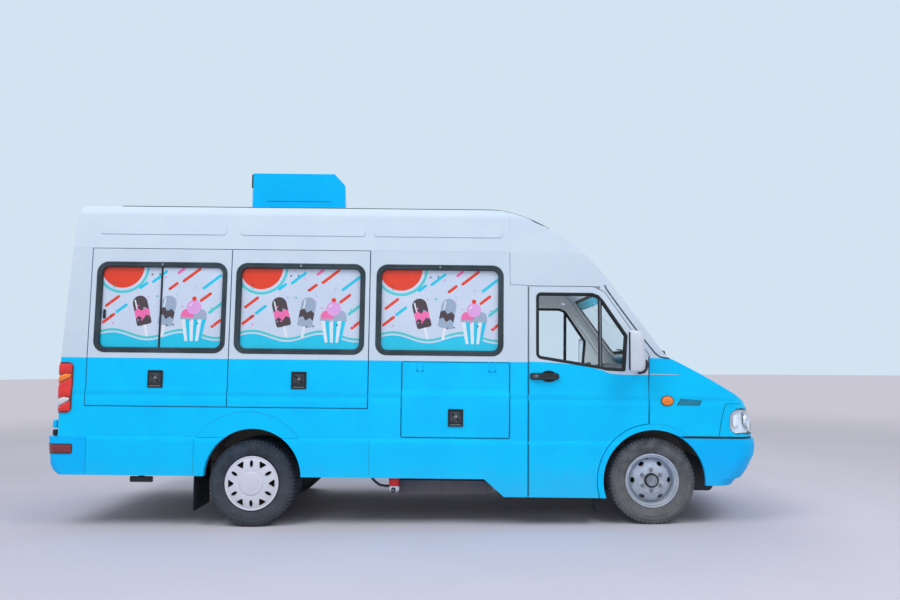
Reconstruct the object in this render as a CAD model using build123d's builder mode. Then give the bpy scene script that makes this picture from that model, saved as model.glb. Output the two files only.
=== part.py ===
from build123d import *
import math
import os

os.makedirs("parts", exist_ok=True)

# An ice cream truck on a light van with twin rear wheels. Millimetres, +X forward, +Y left, +Z up.
# The body is drawn level and is then turned nose down by the rake, about the Y axis, as a last step.
rake = 0.9
wheelbase = 3310.0
rear_axle_x = -1306.0
tyre_radius = 355.0
tyre_width = 195.0
front_tyre_y = 842.0
rear_outer_tyre_y = 862.0
rear_inner_tyre_y = 634.0
kingpin_y = 770.0

# Walls and gaps
wall = 40.0                # thickness of a door, hatch or roof
flange = 15.0              # inner flange that doors and hatches close on
seam = 5.0                 # gap round whatever opens
fit = 0.3                  # gap between two fixed pieces
flange_lap = 24.0          # how far a flange reaches in behind a door's edge

# Section across the body: height and half width of each bend
half_width = 1000.0
sill_z = 396.0
cab_sill_z = 254.0
band_top = 708.0
band_proud = 6.0
swage_low = 1072.0
swage_high = 1120.0
swage_depth = 10.0
belt_z = 1356.0
roof_seam_z = 2275.0
seam_half_width = 955.0
shoulder_z = 2650.0
shoulder_half_width = 905.0
shoulder_radius = 110.0
roof_top = 2700.0

# Side view of the body
tail_x = -2930.0
tail_top_x = -2832.0
dome_start_x = 330.0
dome_end = (1632.0, 2050.0)
screen_foot = (2112.0, 1412.0)
bonnet_nose = (2862.0, 984.0)
nose_edge = (2915.0, 938.0)
bonnet_crown = 18.0        # how far the bonnet line bulges over its chord
nose_low_z = 762.0
nose_levels = [            # height, how far forward
    (nose_low_z, 2952.0),
    (860.0, 2944.0),
    (943.0, 2926.0),
    (1005.0, 2904.0),
    (1356.0, 2780.0),
    (2720.0, 2308.0),
]
nose_radius = 3600.0
front_corner = 200.0
rear_corner = 70.0

# Panel edges
load_front_x = 810.0
hatch_rear_x = -2700.0
hatch_mid_x = -1528.0
hatch_front_x = -362.0
hatch_low_z = 958.0
locker_x0 = -84.0
locker_x1 = 809.0
locker_z0 = 728.0
locker_z1 = 1345.0
door_rear_x = 963.0
door_front_x = 1965.0
door_top_z = 1990.0
door_top_x = 1500.0
door_pillar = (1598.0, 1948.0)
door_shoulder_z = 1424.0

# Windows of the load body, outer edge of the rubber
window_z0 = 1400.0
window_z1 = 2162.0
window_radius = 95.0
rubber = 45.0
window_spans = [(-2655.0, -1560.0), (-1487.0, -402.0), (-310.0, 757.0)]   # from x, to x

# Wheel arches: centre, height and radius
rear_arch = (-1300.0, 385.0, 400.0)
front_arch = (1999.0, 390.0, 420.0)
arch_lip = 48.0
rear_flare = (-1347.0, 392.0, 530.0)       # raised field round the rear arch
bead = 5.0                 # how far flares, beads and latch plates stand proud

# Bumpers
rear_bumper_top = 704.0
bumper_wall = 32.0
bumper_groove = 18.0       # height of the dark groove under the front panels
groove_depth = 15.0
bumper_front_cut_x = 2190.0
bumper_rear_cut_x = -2668.0

slope = math.radians(rake)

# The bonnet line is an arc from the screen's foot to the nose
bonnet_chord = math.dist(screen_foot, bonnet_nose)
bonnet_radius = (bonnet_chord**2 / 4 + bonnet_crown**2) / (2 * bonnet_crown)
bonnet_normal = ((screen_foot[1] - bonnet_nose[1]) / bonnet_chord, (bonnet_nose[0] - screen_foot[0]) / bonnet_chord)
bonnet_middle = ((screen_foot[0] + bonnet_nose[0]) / 2 + bonnet_normal[0] * bonnet_crown,
                 (screen_foot[1] + bonnet_nose[1]) / 2 + bonnet_normal[1] * bonnet_crown)
bonnet_centre = (bonnet_middle[0] - bonnet_normal[0] * bonnet_radius,
                 bonnet_middle[1] - bonnet_normal[1] * bonnet_radius)


def bonnet_z(x):
    """Height of the bonnet line."""
    return bonnet_centre[1] + math.sqrt(bonnet_radius**2 - (x - bonnet_centre[0])**2)


def hub_point(ground_x):
    """Where a wheel centre at this place on the level ground lies in the body's own frame."""
    return (ground_x * math.cos(slope) - tyre_radius * math.sin(slope),
            ground_x * math.sin(slope) + tyre_radius * math.cos(slope))


rear_hub = hub_point(rear_axle_x)
front_hub = hub_point(rear_axle_x + wheelbase)
rake_turn = Location((0, 0, 0), (0, rake, 0))


def keep(piece, label):
    """Turn a finished piece by the rake and write it under its name."""
    placed = piece.moved(rake_turn)
    placed.label = label
    export_step(placed, f"parts/{label}.step")


def plan_outline(rear, front, reach):
    """Plan of the body at one height, with round corners and a bowed front."""
    side = half_width + 4 - reach
    sag = side * side / (2 * nose_radius)
    with BuildSketch(mode=Mode.PRIVATE) as outline:
        with BuildLine():
            Polyline((front - sag, side), (rear, side), (rear, -side), (front - sag, -side))
            ThreePointArc((front - sag, -side), (front, 0), (front - sag, side))
        make_face()
        fillet(outline.vertices().sort_by(Axis.X)[:2], rear_corner - reach * 0.5)
        fillet(outline.vertices().sort_by(Axis.X)[-2:], front_corner - reach * 0.5)
    return outline.sketch


envelopes = {}


def envelope(inset):
    """The body's outer form, moved in by the inset."""
    if inset in envelopes:
        return envelopes[inset]
    middle_x = (dome_start_x + dome_end[0]) / 2
    drop = roof_top - dome_end[1]
    run = dome_end[0] - dome_start_x
    dome_radius = (run * run + drop * drop) / (2 * drop)
    middle_z = roof_top - dome_radius + math.sqrt(dome_radius**2 - (middle_x - dome_start_x)**2)
    with BuildPart() as form:
        with BuildSketch(Plane.XZ) as side_view:
            with BuildLine():
                Polyline((tail_x - 200, 100), (tail_x - 200, roof_top), (dome_start_x, roof_top))
                ThreePointArc((dome_start_x, roof_top), (middle_x, middle_z), dome_end)
                Line(dome_end, screen_foot)
                ThreePointArc(screen_foot, bonnet_middle, bonnet_nose)
                Polyline(bonnet_nose, nose_edge, (2960, 850), (3060, 600), (3060, 100), (tail_x - 200, 100))
            make_face()
            if inset:
                offset(amount=-inset, kind=Kind.INTERSECTION, mode=Mode.REPLACE)
        extrude(amount=1200, both=True)
        with BuildSketch(Plane.YZ) as section:
            with BuildLine():
                Polyline(
                    (0, 100),
                    (half_width, 100),
                    (half_width, band_top - band_proud),
                    (half_width - band_proud, band_top),
                    (half_width - band_proud, swage_low),
                    (half_width - band_proud - swage_depth, swage_high),
                    (half_width - band_proud - swage_depth, belt_z),
                    (seam_half_width, roof_seam_z),
                    (shoulder_half_width, shoulder_z),
                )
                ThreePointArc((shoulder_half_width, shoulder_z), (shoulder_half_width / 2, roof_top - 12),
                              (0, roof_top))
                mirror(about=Plane.YZ)
            make_face()
            fillet(vertices().filter_by(lambda v: abs(v.Y - shoulder_z) < 1), shoulder_radius)
            if inset:
                offset(amount=-inset, kind=Kind.INTERSECTION, mode=Mode.REPLACE)
        extrude(amount=3300, both=True, mode=Mode.INTERSECT)
        with BuildPart(mode=Mode.INTERSECT) as plan:
            with BuildSketch(Plane.XY.offset(100)):
                add(plan_outline(tail_x + inset, nose_levels[0][1] - inset, inset))
            for level, front in nose_levels:
                rear = tail_x + (tail_top_x - tail_x) * max(level - belt_z, 0) / (nose_levels[-1][0] - belt_z)
                with BuildSketch(Plane.XY.offset(level)):
                    add(plan_outline(rear + inset, front - inset, inset))
            loft(ruled=True)
    envelopes[inset] = form.part
    return form.part


def skin(outer, inner):
    """The shell between two insets of the outer form."""
    if (outer, inner) not in envelopes:
        with BuildPart(mode=Mode.PRIVATE) as shell:
            add(envelope(outer))
            add(envelope(inner), mode=Mode.SUBTRACT)
        envelopes[(outer, inner)] = shell.part
    return envelopes[(outer, inner)]


def outline(points, radius=0.0):
    """A closed outline from its corners, as side view x and z."""
    with BuildSketch(mode=Mode.PRIVATE) as flat:
        with BuildLine():
            Polyline(*points, close=True)
        make_face()
        if radius:
            fillet(flat.vertices(), radius)
    return flat.sketch


def pane(x0, x1, z0, z1, radius=0.0):
    return outline([(x0, z0), (x1, z0), (x1, z1), (x0, z1)], radius)


def side_block(shape, grow=0.0, near=700.0, far=1200.0):
    """A side view outline pushed outwards through the right side."""
    with BuildPart(mode=Mode.PRIVATE) as block:
        with BuildSketch(Plane.XZ.offset(near)):
            add(shape)
            if grow:
                offset(amount=grow, kind=Kind.INTERSECTION, mode=Mode.REPLACE)
        extrude(amount=far - near)
    return block.part


def cross_block(shape, reach=1200.0):
    """A side view outline pushed right across the body."""
    with BuildPart(mode=Mode.PRIVATE) as block:
        with BuildSketch(Plane.XZ):
            add(shape)
        extrude(amount=reach, both=True)
    return block.part


def mirrored(piece):
    return mirror(piece, about=Plane.XZ, mode=Mode.PRIVATE)


def keep_pair(piece, label):
    """Write a right hand piece and its left hand twin."""
    keep(piece, label + "_right")
    keep(mirrored(piece), label + "_left")


# Outlines of what opens, in side view
hatch_top_z = roof_seam_z - seam / 2
hatch_rear = pane(hatch_rear_x + seam / 2, hatch_mid_x - seam / 2, hatch_low_z + seam / 2, hatch_top_z)
hatch_front = pane(hatch_mid_x + seam / 2, hatch_front_x - seam / 2, hatch_low_z + seam / 2, hatch_top_z)
locker = pane(locker_x0, locker_x1, locker_z0, locker_z1, 14.0)
with BuildSketch(mode=Mode.PRIVATE) as door_view:
    with BuildLine():
        Polyline(
            (door_rear_x, cab_sill_z),
            (door_rear_x, door_top_z),
            (door_top_x, door_top_z),
            door_pillar,
            (door_front_x, door_shoulder_z),
            (door_front_x - 14, 800),
            (door_front_x - 14, cab_sill_z),
            close=True,
        )
    make_face()
    with Locations((front_arch[0], front_arch[1])):
        Circle(front_arch[2] + arch_lip + seam, mode=Mode.SUBTRACT)
door = door_view.sketch
windows = [pane(x0, x1, window_z0, window_z1, window_radius) for x0, x1 in window_spans]
cab_window = outline([
    (1027.0, 1388.0),
    (1027.0, 1940.0),
    (1500.0, 1940.0),
    (1553.0, 1920.0),
    (1588.0, 1882.0),
    (1790.0, 1587.0),
    (1768.0, 1285.0),
    (1606.0, 1292.0),
    (1556.0, 1305.0),
], 18.0)

# Right side of the load body, with the ring that the cab door closes on
side_top_z = roof_seam_z + seam / 2 - fit
side_view = outline([
    (tail_x - 50, sill_z),
    (602.0, sill_z),
    (766.0, cab_sill_z),
    (door_rear_x - seam, cab_sill_z),
    (door_rear_x - seam, door_top_z + seam),
    (load_front_x - fit, door_top_z + seam),
    (load_front_x - fit, side_top_z),
    (tail_x - 50, side_top_z),
])
rear_door_y = 888.0
side_inner_y = rear_door_y + seam
flange_skin = skin(wall + fit, wall + flange)


def side_wall(hatches):
    """One side wall: hatch and locker openings on the serving side, windows only on the other."""
    with BuildPart(mode=Mode.PRIVATE) as wall_piece:
        add(side_block(side_view, near=side_inner_y))
        add(skin(0, wall + flange), mode=Mode.INTERSECT)
        if hatches:
            with BuildPart(mode=Mode.SUBTRACT):
                add(side_block(pane(hatch_rear_x - seam / 2, hatch_front_x + seam / 2, hatch_low_z - seam / 2, 2400)))
                add(side_block(locker, seam))
                add(skin(0, wall + fit), mode=Mode.INTERSECT)
            for shape in (hatch_rear, hatch_front, locker):
                add(side_block(shape, -flange_lap), mode=Mode.SUBTRACT)
            add(side_block(windows[2]), mode=Mode.SUBTRACT)
        else:
            for shape in windows:
                add(side_block(shape), mode=Mode.SUBTRACT)
        with BuildPart():
            with BuildSketch(Plane.XZ.offset(side_inner_y)):
                with Locations(rear_flare[:2]):
                    Circle(rear_flare[2])
                with Locations((rear_flare[0], band_top + 3 - rear_flare[2])):
                    Rectangle(3 * rear_flare[2], 2 * rear_flare[2], mode=Mode.SUBTRACT)
            extrude(amount=200)
            add(skin(-bead, wall), mode=Mode.INTERSECT)
        with Locations(Location((rear_arch[0], -side_inner_y, rear_arch[1]), (90, 0, 0))):
            Cylinder(rear_arch[2], 600, mode=Mode.SUBTRACT)
        add(side_block(pane(tail_x - 100, bumper_rear_cut_x + fit, 0, rear_bumper_top + fit), near=500),
            mode=Mode.SUBTRACT)
        with BuildPart():
            add(side_block(pane(tail_x - 50, -2760, rear_bumper_top + fit, side_top_z), near=rear_door_y - flange_lap,
                           far=side_inner_y + 1))
            add(flange_skin, mode=Mode.INTERSECT)
        with BuildPart():
            add(side_block(door, seam))
            add(side_block(door, -flange_lap), mode=Mode.SUBTRACT)
            add(flange_skin, mode=Mode.INTERSECT)
            with Locations((0, 0, 100)):
                Box(8000, 4000, 2 * (cab_sill_z - 100), mode=Mode.SUBTRACT)
    return wall_piece.part


with BuildPart() as side_right:
    add(side_wall(True))
keep(side_right.part, "side_right")
with BuildPart() as side_left:
    add(mirrored(side_wall(False)))
keep(side_left.part, "side_left")

# Roof panels over the load space and over the cab
roof_beads = [(-2655.0, -1587.0), (-1470.0, -412.0), (-337.0, 746.0)]      # from x, to x
bead_z0 = 2400.0
bead_z1 = 2465.0
with BuildPart() as load_roof:
    add(cross_block(pane(tail_x - 50, load_front_x - fit, side_top_z + fit, roof_top + 50)))
    add(skin(0, wall), mode=Mode.INTERSECT)
    with BuildPart():
        for x0, x1 in roof_beads:
            add(cross_block(pane(x0, x1, bead_z0, bead_z1, 28)))
        add(skin(-bead, wall), mode=Mode.INTERSECT)
keep(load_roof.part, "load_roof")

cab_roof_front_x = 1560.0
with BuildPart() as cab_roof:
    add(cross_block(pane(load_front_x, cab_roof_front_x, door_top_z + seam + fit, roof_top + 50)))
    add(skin(0, wall), mode=Mode.INTERSECT)
    add(side_block(door, seam), mode=Mode.SUBTRACT)
    add(mirrored(side_block(door, seam)), mode=Mode.SUBTRACT)
keep(cab_roof.part, "cab_roof")

# Screen frame: header, pillars and the cowl in front of the screen
wing_y = 785.0
bonnet_rear_x = 2155.0
bonnet_lip = 22.0
cowl_lap = 34.0
bonnet_thick = wall - flange
front_panel_x = 2556.0
nose_seam = (2790.0, 998.0)                # from here the panel's top edge runs level round the nose
panel_seam = [(2531.0, nose_low_z), (2551.0, 884.0), (2583.0, 1009.0), (2600.0, 1031.0), (2725.0, 1031.0),
              nose_seam, (3060.0, nose_seam[1])]
pillar_foot_z = 1441.0
screen_run = math.dist(dome_end, screen_foot)
screen_dir = ((screen_foot[0] - dome_end[0]) / screen_run, (screen_foot[1] - dome_end[1]) / screen_run)
screen_plane = Plane(origin=(dome_end[0], 0, dome_end[1]), x_dir=(0, 1, 0), z_dir=(-screen_dir[1], 0, screen_dir[0]))
screen_top_edge = 40.0
screen_low_edge = 748.0
with BuildSketch(mode=Mode.PRIVATE) as screen_view:
    with BuildLine():
        Polyline((-880, -screen_low_edge), (880, -screen_low_edge), (848, -screen_top_edge), (-848, -screen_top_edge),
                 close=True)
    make_face()
    fillet(screen_view.vertices(), 75)
with BuildPart() as screen_frame:
    add(cross_block(outline([
        (cab_roof_front_x + fit, roof_top),
        (cab_roof_front_x + fit, 1900),
        (1880, pillar_foot_z),
        (2300, pillar_foot_z),
        (2300, roof_top),
    ])))
    add(cross_block(pane(2060, bonnet_rear_x - seam, 1300, pillar_foot_z + 20), wing_y - fit))
    add(skin(0, wall), mode=Mode.INTERSECT)
    with BuildPart():
        add(cross_block(pane(2100, bonnet_rear_x + cowl_lap, 1300, pillar_foot_z), wing_y - fit))
        add(skin(bonnet_thick + fit, wall), mode=Mode.INTERSECT)
    add(side_block(door, seam), mode=Mode.SUBTRACT)
    add(mirrored(side_block(door, seam)), mode=Mode.SUBTRACT)
    with BuildSketch(screen_plane):
        add(screen_view.sketch)
    extrude(amount=120, both=True, mode=Mode.SUBTRACT)
keep(screen_frame.part, "screen_frame")

glass = 6.0
glass_inset = 6.0
with BuildPart() as windscreen:
    with BuildSketch(screen_plane.offset(-glass_inset - glass)):
        add(screen_view.sketch)
        offset(amount=-fit, mode=Mode.REPLACE)
    extrude(amount=glass)
keep(windscreen.part, "windscreen")

# Front wings with a proud lip round the wheel arch
vent_slots = 9
vent_pitch = 20.7
vent_lean = 30.0
with BuildPart() as wing:
    with BuildPart():
        add(side_block(outline([
            (1880, nose_low_z),
            (1880, pillar_foot_z - fit),
            (2300, pillar_foot_z - fit),
            (3060, bonnet_z(2300)),
            *[(x - fit, z + fit) for x, z in reversed(panel_seam[1:])],
            (panel_seam[0][0] - fit, nose_low_z),
        ]), near=wing_y))
        add(skin(0, wall), mode=Mode.INTERSECT)
        add(side_block(door, seam), mode=Mode.SUBTRACT)
        with BuildSketch(Plane.XZ.offset(wing_y)):
            for count in range(vent_slots):
                with Locations((2211 + count * vent_pitch, 1041 - count)):
                    SlotOverall(66 - 2 * count, 9, rotation=90 - vent_lean)
        extrude(amount=400, mode=Mode.SUBTRACT)
    with BuildPart():
        with BuildSketch(Plane.XZ.offset(900)):
            with Locations((front_arch[0], front_arch[1])):
                Circle(front_arch[2] + arch_lip)
        extrude(amount=200)
        add(skin(-bead, wall), mode=Mode.INTERSECT)
        with Locations((front_arch[0] + 500, -1000, nose_low_z / 2)):
            Box(1000, 400, nose_low_z, mode=Mode.SUBTRACT)
        with Locations((1500, -1000, cab_sill_z - 200)):
            Box(1200, 400, 400, mode=Mode.SUBTRACT)
    with Locations(Location((front_arch[0], -900, front_arch[1]), (90, 0, 0))):
        Cylinder(front_arch[2], 600, mode=Mode.SUBTRACT)
with BuildPart() as front_wings:
    add(wing.part)
    add(mirrored(wing.part))
keep(front_wings.part, "front_wings")

# Bonnet, hinged at its rear edge
with BuildPart() as bonnet:
    add(cross_block(outline([
        (bonnet_rear_x, bonnet_z(bonnet_rear_x) - 2 * wall),
        (front_panel_x - seam, bonnet_z(front_panel_x - seam) - 2 * wall),
        (front_panel_x - seam, bonnet_z(front_panel_x - seam) - bonnet_lip),
        (nose_seam[0], nose_seam[1] + seam),
        (3060, nose_seam[1] + seam),
        (3060, 1600),
        (bonnet_rear_x, 1600),
    ]), wing_y - seam))
    add(skin(0, bonnet_thick), mode=Mode.INTERSECT)
keep(bonnet.part, "bonnet")

# Front panel round the lamps, with a slatted grille
lamp_x = 2620.0
lamp_z0 = 788.0
lamp_z1 = 985.0
lamp_inner_y = 570.0
with BuildSketch(mode=Mode.PRIVATE) as lamp_view:
    add(pane(lamp_x, 3100, lamp_z0, lamp_z1))
    fillet(lamp_view.vertices().group_by(Axis.X)[0].sort_by(Axis.Y)[-1], 74)
    fillet(lamp_view.vertices().group_by(Axis.X)[0].sort_by(Axis.Y)[0], 56)
slat_pitch = 34.0
slat_count = 5
with BuildPart() as grille:
    add(cross_block(outline(panel_seam + [(3060, nose_low_z)])))
    add(skin(0, wall), mode=Mode.INTERSECT)
    with BuildSketch(Plane.XZ.offset(lamp_inner_y)):
        add(lamp_view.sketch)
    extrude(amount=600, mode=Mode.SUBTRACT)
    with BuildSketch(Plane.XZ.offset(-lamp_inner_y)):
        add(lamp_view.sketch)
    extrude(amount=-600, mode=Mode.SUBTRACT)
    with BuildSketch(Plane.YZ.offset(2700)):
        with Locations((0, (lamp_z0 + lamp_z1) / 2)):
            with GridLocations(1, slat_pitch, 1, slat_count):
                SlotOverall(1000, slat_pitch * 0.55)
    extrude(amount=400, mode=Mode.SUBTRACT)
keep(grille.part, "grille")

with BuildPart() as lamp:
    with BuildSketch(Plane.XZ.offset(lamp_inner_y + fit)):
        add(lamp_view.sketch)
        offset(amount=-fit, mode=Mode.REPLACE)
    extrude(amount=600)
    add(skin(0, wall), mode=Mode.INTERSECT)
with BuildPart() as headlamps:
    add(lamp.part)
    add(mirrored(lamp.part))
keep(headlamps.part, "headlamps")

# Bumpers: plan outlines at a few heights, joined by straight walls
front_bumper_levels = [                       # height, how far forward
    (363.0, 2778.0),
    (412.0, 2820.0),
    (422.0, 2858.0),
    (450.0, 2880.0),
    (497.0, 2912.0),
    (564.0, 2946.0),
    (612.0, 2970.0),
    (690.0, 2979.0),
    (nose_low_z - fit, 2966.0),
]
rear_bumper_levels = [                        # height, how far forward
    (396.0, -2915.0),
    (428.0, -2952.0),
    (475.0, -2978.0),
]
front_reach = max(x + z * math.tan(slope) for z, x in front_bumper_levels)
rear_bumper_levels.append((rear_bumper_top, -(front_reach + rear_bumper_top * math.tan(slope))))


def bumper_form(levels, at_front, reach):
    with BuildPart(mode=Mode.PRIVATE) as form:
        for level, far_x in levels:
            with BuildSketch(Plane.XY.offset(level)):
                if at_front:
                    add(plan_outline(bumper_front_cut_x - 500, far_x - reach, reach + 4))
                else:
                    add(plan_outline(far_x + reach, bumper_rear_cut_x + 1500, reach + 4))
        loft(ruled=True)
    return form.part


with BuildPart() as front_bumper:
    add(bumper_form(front_bumper_levels, True, 0))
    add(bumper_form(front_bumper_levels, True, bumper_wall), mode=Mode.SUBTRACT)
    with Locations((bumper_front_cut_x - 1500, 0, 500)):
        Box(3000, 3000, 2000, mode=Mode.SUBTRACT)
    with Locations(Location((front_arch[0], 0, front_arch[1]), (90, 0, 0))):
        Cylinder(front_arch[2], 3000, mode=Mode.SUBTRACT)
    with BuildPart(mode=Mode.SUBTRACT):
        with Locations((front_arch[0] + 600, 0, nose_low_z)):
            Box(1200, 2400, 2 * bumper_groove)
        add(bumper_form(front_bumper_levels, True, groove_depth), mode=Mode.SUBTRACT)
keep(front_bumper.part, "front_bumper")

with BuildPart() as rear_bumper:
    add(bumper_form(rear_bumper_levels, False, 0))
    add(bumper_form(rear_bumper_levels, False, bumper_wall), mode=Mode.SUBTRACT)
    with Locations((bumper_rear_cut_x + 1500, 0, 500)):
        Box(3000, 3000, 2000, mode=Mode.SUBTRACT)
keep(rear_bumper.part, "rear_bumper")


# Doors, hatches and lids, each as thick as the wall
latch_size = (124.0, 142.0)
latch_z = 1184.0


def leaf(shape):
    with BuildPart(mode=Mode.PRIVATE) as panel:
        add(side_block(shape))
        add(skin(0, wall), mode=Mode.INTERSECT)
    return panel.part


def latch_plate(x, z):
    """A latch's plate on a leaf, as high as the leaf's latch."""
    with BuildPart(mode=Mode.PRIVATE) as plate:
        add(side_block(pane(x - latch_size[0] / 2, x + latch_size[0] / 2, z - latch_size[1] / 2,
                            z + latch_size[1] / 2, 10)))
        add(skin(-bead, wall), mode=Mode.INTERSECT)
    return plate.part


ring_proud = 4.0
pane_inset = 24.0
pane_thick = 8.0


def window_unit(shape, band, proud, pane_from, pane_to):
    """A rubber ring in an opening, and the pane that it holds."""
    with BuildPart(mode=Mode.PRIVATE) as unit:
        with BuildPart():
            add(side_block(shape, -fit))
            add(side_block(shape, -band), mode=Mode.SUBTRACT)
            add(skin(-proud, wall - 4), mode=Mode.INTERSECT)
        with BuildPart():
            add(side_block(shape, -band - fit))
            add(skin(pane_from, pane_to), mode=Mode.INTERSECT)
    return unit.part


handle_reach = 22.0
with BuildPart() as cab_door_right:
    add(leaf(door))
    add(side_block(cab_window), mode=Mode.SUBTRACT)
    with BuildSketch(Plane.XZ.offset(half_width - band_proud - swage_depth - 1)):
        with Locations((1090, 1240)):
            SlotOverall(190, 42)
    extrude(amount=handle_reach)
keep_pair(cab_door_right.part, "cab_door")

frame_band = 26.0
divider_x = 1563.0
with BuildPart() as cab_window_right:
    with BuildPart():
        add(side_block(cab_window, -fit))
        with BuildPart(mode=Mode.SUBTRACT):
            add(side_block(cab_window, -frame_band))
            with Locations((divider_x, -900, 1600)):
                Box(frame_band, 600, 1200, mode=Mode.SUBTRACT)
        add(skin(-2.0, wall - 8), mode=Mode.INTERSECT)
    with BuildPart():
        add(side_block(cab_window, -frame_band - fit))
        with Locations((divider_x, -900, 1600)):
            Box(frame_band + 2 * fit, 600, 1200, mode=Mode.SUBTRACT)
        add(skin(16.0, 21.0), mode=Mode.INTERSECT)
keep_pair(cab_window_right.part, "cab_window")

# Door mirror: a foot on the door, an arm and a rounded housing
mirror_x = 1836.0
mirror_z0 = 1290.0
mirror_z1 = 1625.0
mirror_y0 = 1062.0
mirror_y1 = 1190.0
mirror_foot_y = half_width - band_proud - swage_depth + fit
mirror_length = 164.0
mirror_arm_x = 1882.0
with BuildPart() as mirror_right:
    with BuildSketch(Plane.XY.offset(mirror_z0)):
        with Locations((mirror_x, -(mirror_y0 + mirror_y1) / 2)):
            mirror_plan = Rectangle(mirror_length, mirror_y1 - mirror_y0)
        fillet(mirror_plan.vertices().group_by(Axis.X)[-1], 56)
        fillet(mirror_plan.vertices().group_by(Axis.X)[0], 16)
    extrude(amount=mirror_z1 - mirror_z0)
    fillet(mirror_right.faces().sort_by(Axis.Z)[-1].edges(), 14)
    with BuildSketch(Plane.XY.offset(mirror_z0 - 6)):
        with Locations((mirror_arm_x, -(mirror_foot_y + mirror_y0 + 40) / 2)):
            Rectangle(46, mirror_y0 + 40 - mirror_foot_y)
    extrude(amount=70)
keep_pair(mirror_right.part, "mirror")

with BuildPart() as hatch_panel_rear:
    add(leaf(hatch_rear))
    add(latch_plate(-2125.0, latch_z))
    add(side_block(windows[0]), mode=Mode.SUBTRACT)
keep(hatch_panel_rear.part, "hatch_rear")
with BuildPart() as hatch_panel_front:
    add(leaf(hatch_front))
    add(latch_plate(-936.0, latch_z))
    add(side_block(windows[1]), mode=Mode.SUBTRACT)
keep(hatch_panel_front.part, "hatch_front")
keep(window_unit(windows[0], rubber, ring_proud, pane_inset, pane_inset + pane_thick), "hatch_window_rear")
keep(window_unit(windows[1], rubber, ring_proud, pane_inset, pane_inset + pane_thick), "hatch_window_front")

with BuildPart() as side_windows:
    add(window_unit(windows[2], rubber, ring_proud, pane_inset, pane_inset + pane_thick))
    for shape in windows:
        add(mirrored(window_unit(shape, rubber, ring_proud, pane_inset, pane_inset + pane_thick)))
keep(side_windows.part, "side_windows")

with BuildPart() as locker_door:
    add(leaf(locker))
    add(latch_plate(364.0, 891.0))
keep(locker_door.part, "locker_door")

# Rear doors, in the tail between the corner pillars
rear_door_z0 = rear_bumper_top + seam
rear_window_z0 = 1420.0
rear_window_z1 = 2080.0
rear_window_y0 = 130.0
rear_window_y1 = 770.0
tail_block_x = -2760.0


def tail_block(y0, y1, z0, z1, radius=0.0):
    with BuildPart(mode=Mode.PRIVATE) as block:
        with BuildSketch(Plane.YZ.offset(tail_block_x)):
            add(pane(-y1, -y0, z0, z1, radius))
        extrude(amount=-300)
    return block.part


with BuildPart() as rear_door_right:
    add(tail_block(seam / 2, rear_door_y, rear_door_z0, hatch_top_z))
    add(skin(0, wall), mode=Mode.INTERSECT)
    add(tail_block(rear_window_y0, rear_window_y1, rear_window_z0, rear_window_z1, 60), mode=Mode.SUBTRACT)
keep_pair(rear_door_right.part, "rear_door")
with BuildPart() as rear_window_right:
    with BuildPart():
        add(tail_block(rear_window_y0 + fit, rear_window_y1 - fit, rear_window_z0 + fit, rear_window_z1 - fit, 60))
        add(tail_block(rear_window_y0 + 25, rear_window_y1 - 25, rear_window_z0 + 25, rear_window_z1 - 25, 40),
            mode=Mode.SUBTRACT)
        add(skin(-ring_proud, wall - 4), mode=Mode.INTERSECT)
    with BuildPart():
        add(tail_block(rear_window_y0 + 25 + fit, rear_window_y1 - 25 - fit, rear_window_z0 + 25 + fit,
                       rear_window_z1 - 25 - fit, 40))
        add(skin(18.0, 23.0), mode=Mode.INTERSECT)
keep_pair(rear_window_right.part, "rear_window")

# Tail lamps wrap the rear corners, with a reflector below on the bumper
with BuildPart() as tail_lamp:
    with BuildPart():
        add(side_block(pane(tail_x - 60, -2800, 898, 1316, 12), near=908))
        add(skin(-14.0, -fit), mode=Mode.INTERSECT)
with BuildPart() as tail_lamps:
    add(tail_lamp.part)
    add(mirrored(tail_lamp.part))
keep(tail_lamps.part, "tail_lamps")

# Floor with wheel boxes and a bulkhead in front of the cab
floor_z = 580.0
floor_thick = 40.0
box_gap = 24.0
box_wall = 12.0
box_inner_y = 512.0
floor_half_width = half_width - wall - flange - 6
floor_rear_x = tail_x + wall + flange + 6
bulkhead_x = 2020.0
bulkhead_top_z = 1330.0


def wheel_box(arch, near_y, far_y, radius):
    """A drum across one side of the floor."""
    with BuildPart(mode=Mode.PRIVATE) as drum:
        with BuildSketch(Plane.XZ.offset(near_y)):
            with Locations((arch[0], arch[1])):
                Circle(radius)
        extrude(amount=far_y - near_y)
    return drum.part


with BuildPart() as floor:
    with BuildSketch(Plane.XY.offset(floor_z)):
        with Locations(((floor_rear_x + bulkhead_x) / 2, 0)):
            Rectangle(bulkhead_x - floor_rear_x, 2 * floor_half_width)
    extrude(amount=floor_thick)
    with BuildSketch(Plane.YZ.offset(bulkhead_x - box_wall)):
        with Locations((0, (floor_z + bulkhead_top_z) / 2)):
            Rectangle(2 * floor_half_width, bulkhead_top_z - floor_z)
    extrude(amount=box_wall)
    for arch in (rear_arch, front_arch):
        outer = wheel_box(arch, box_inner_y, floor_half_width, arch[2] + box_gap + box_wall)
        add(outer)
        add(mirrored(outer))
    for arch in (rear_arch, front_arch):
        inner = wheel_box(arch, box_inner_y + box_wall, 1300, arch[2] + box_gap)
        add(inner, mode=Mode.SUBTRACT)
        add(mirrored(inner), mode=Mode.SUBTRACT)
    with Locations((0, 0, floor_z - 1000)):
        Box(9000, 3000, 2000, mode=Mode.SUBTRACT)
keep(floor.part, "floor")

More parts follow.
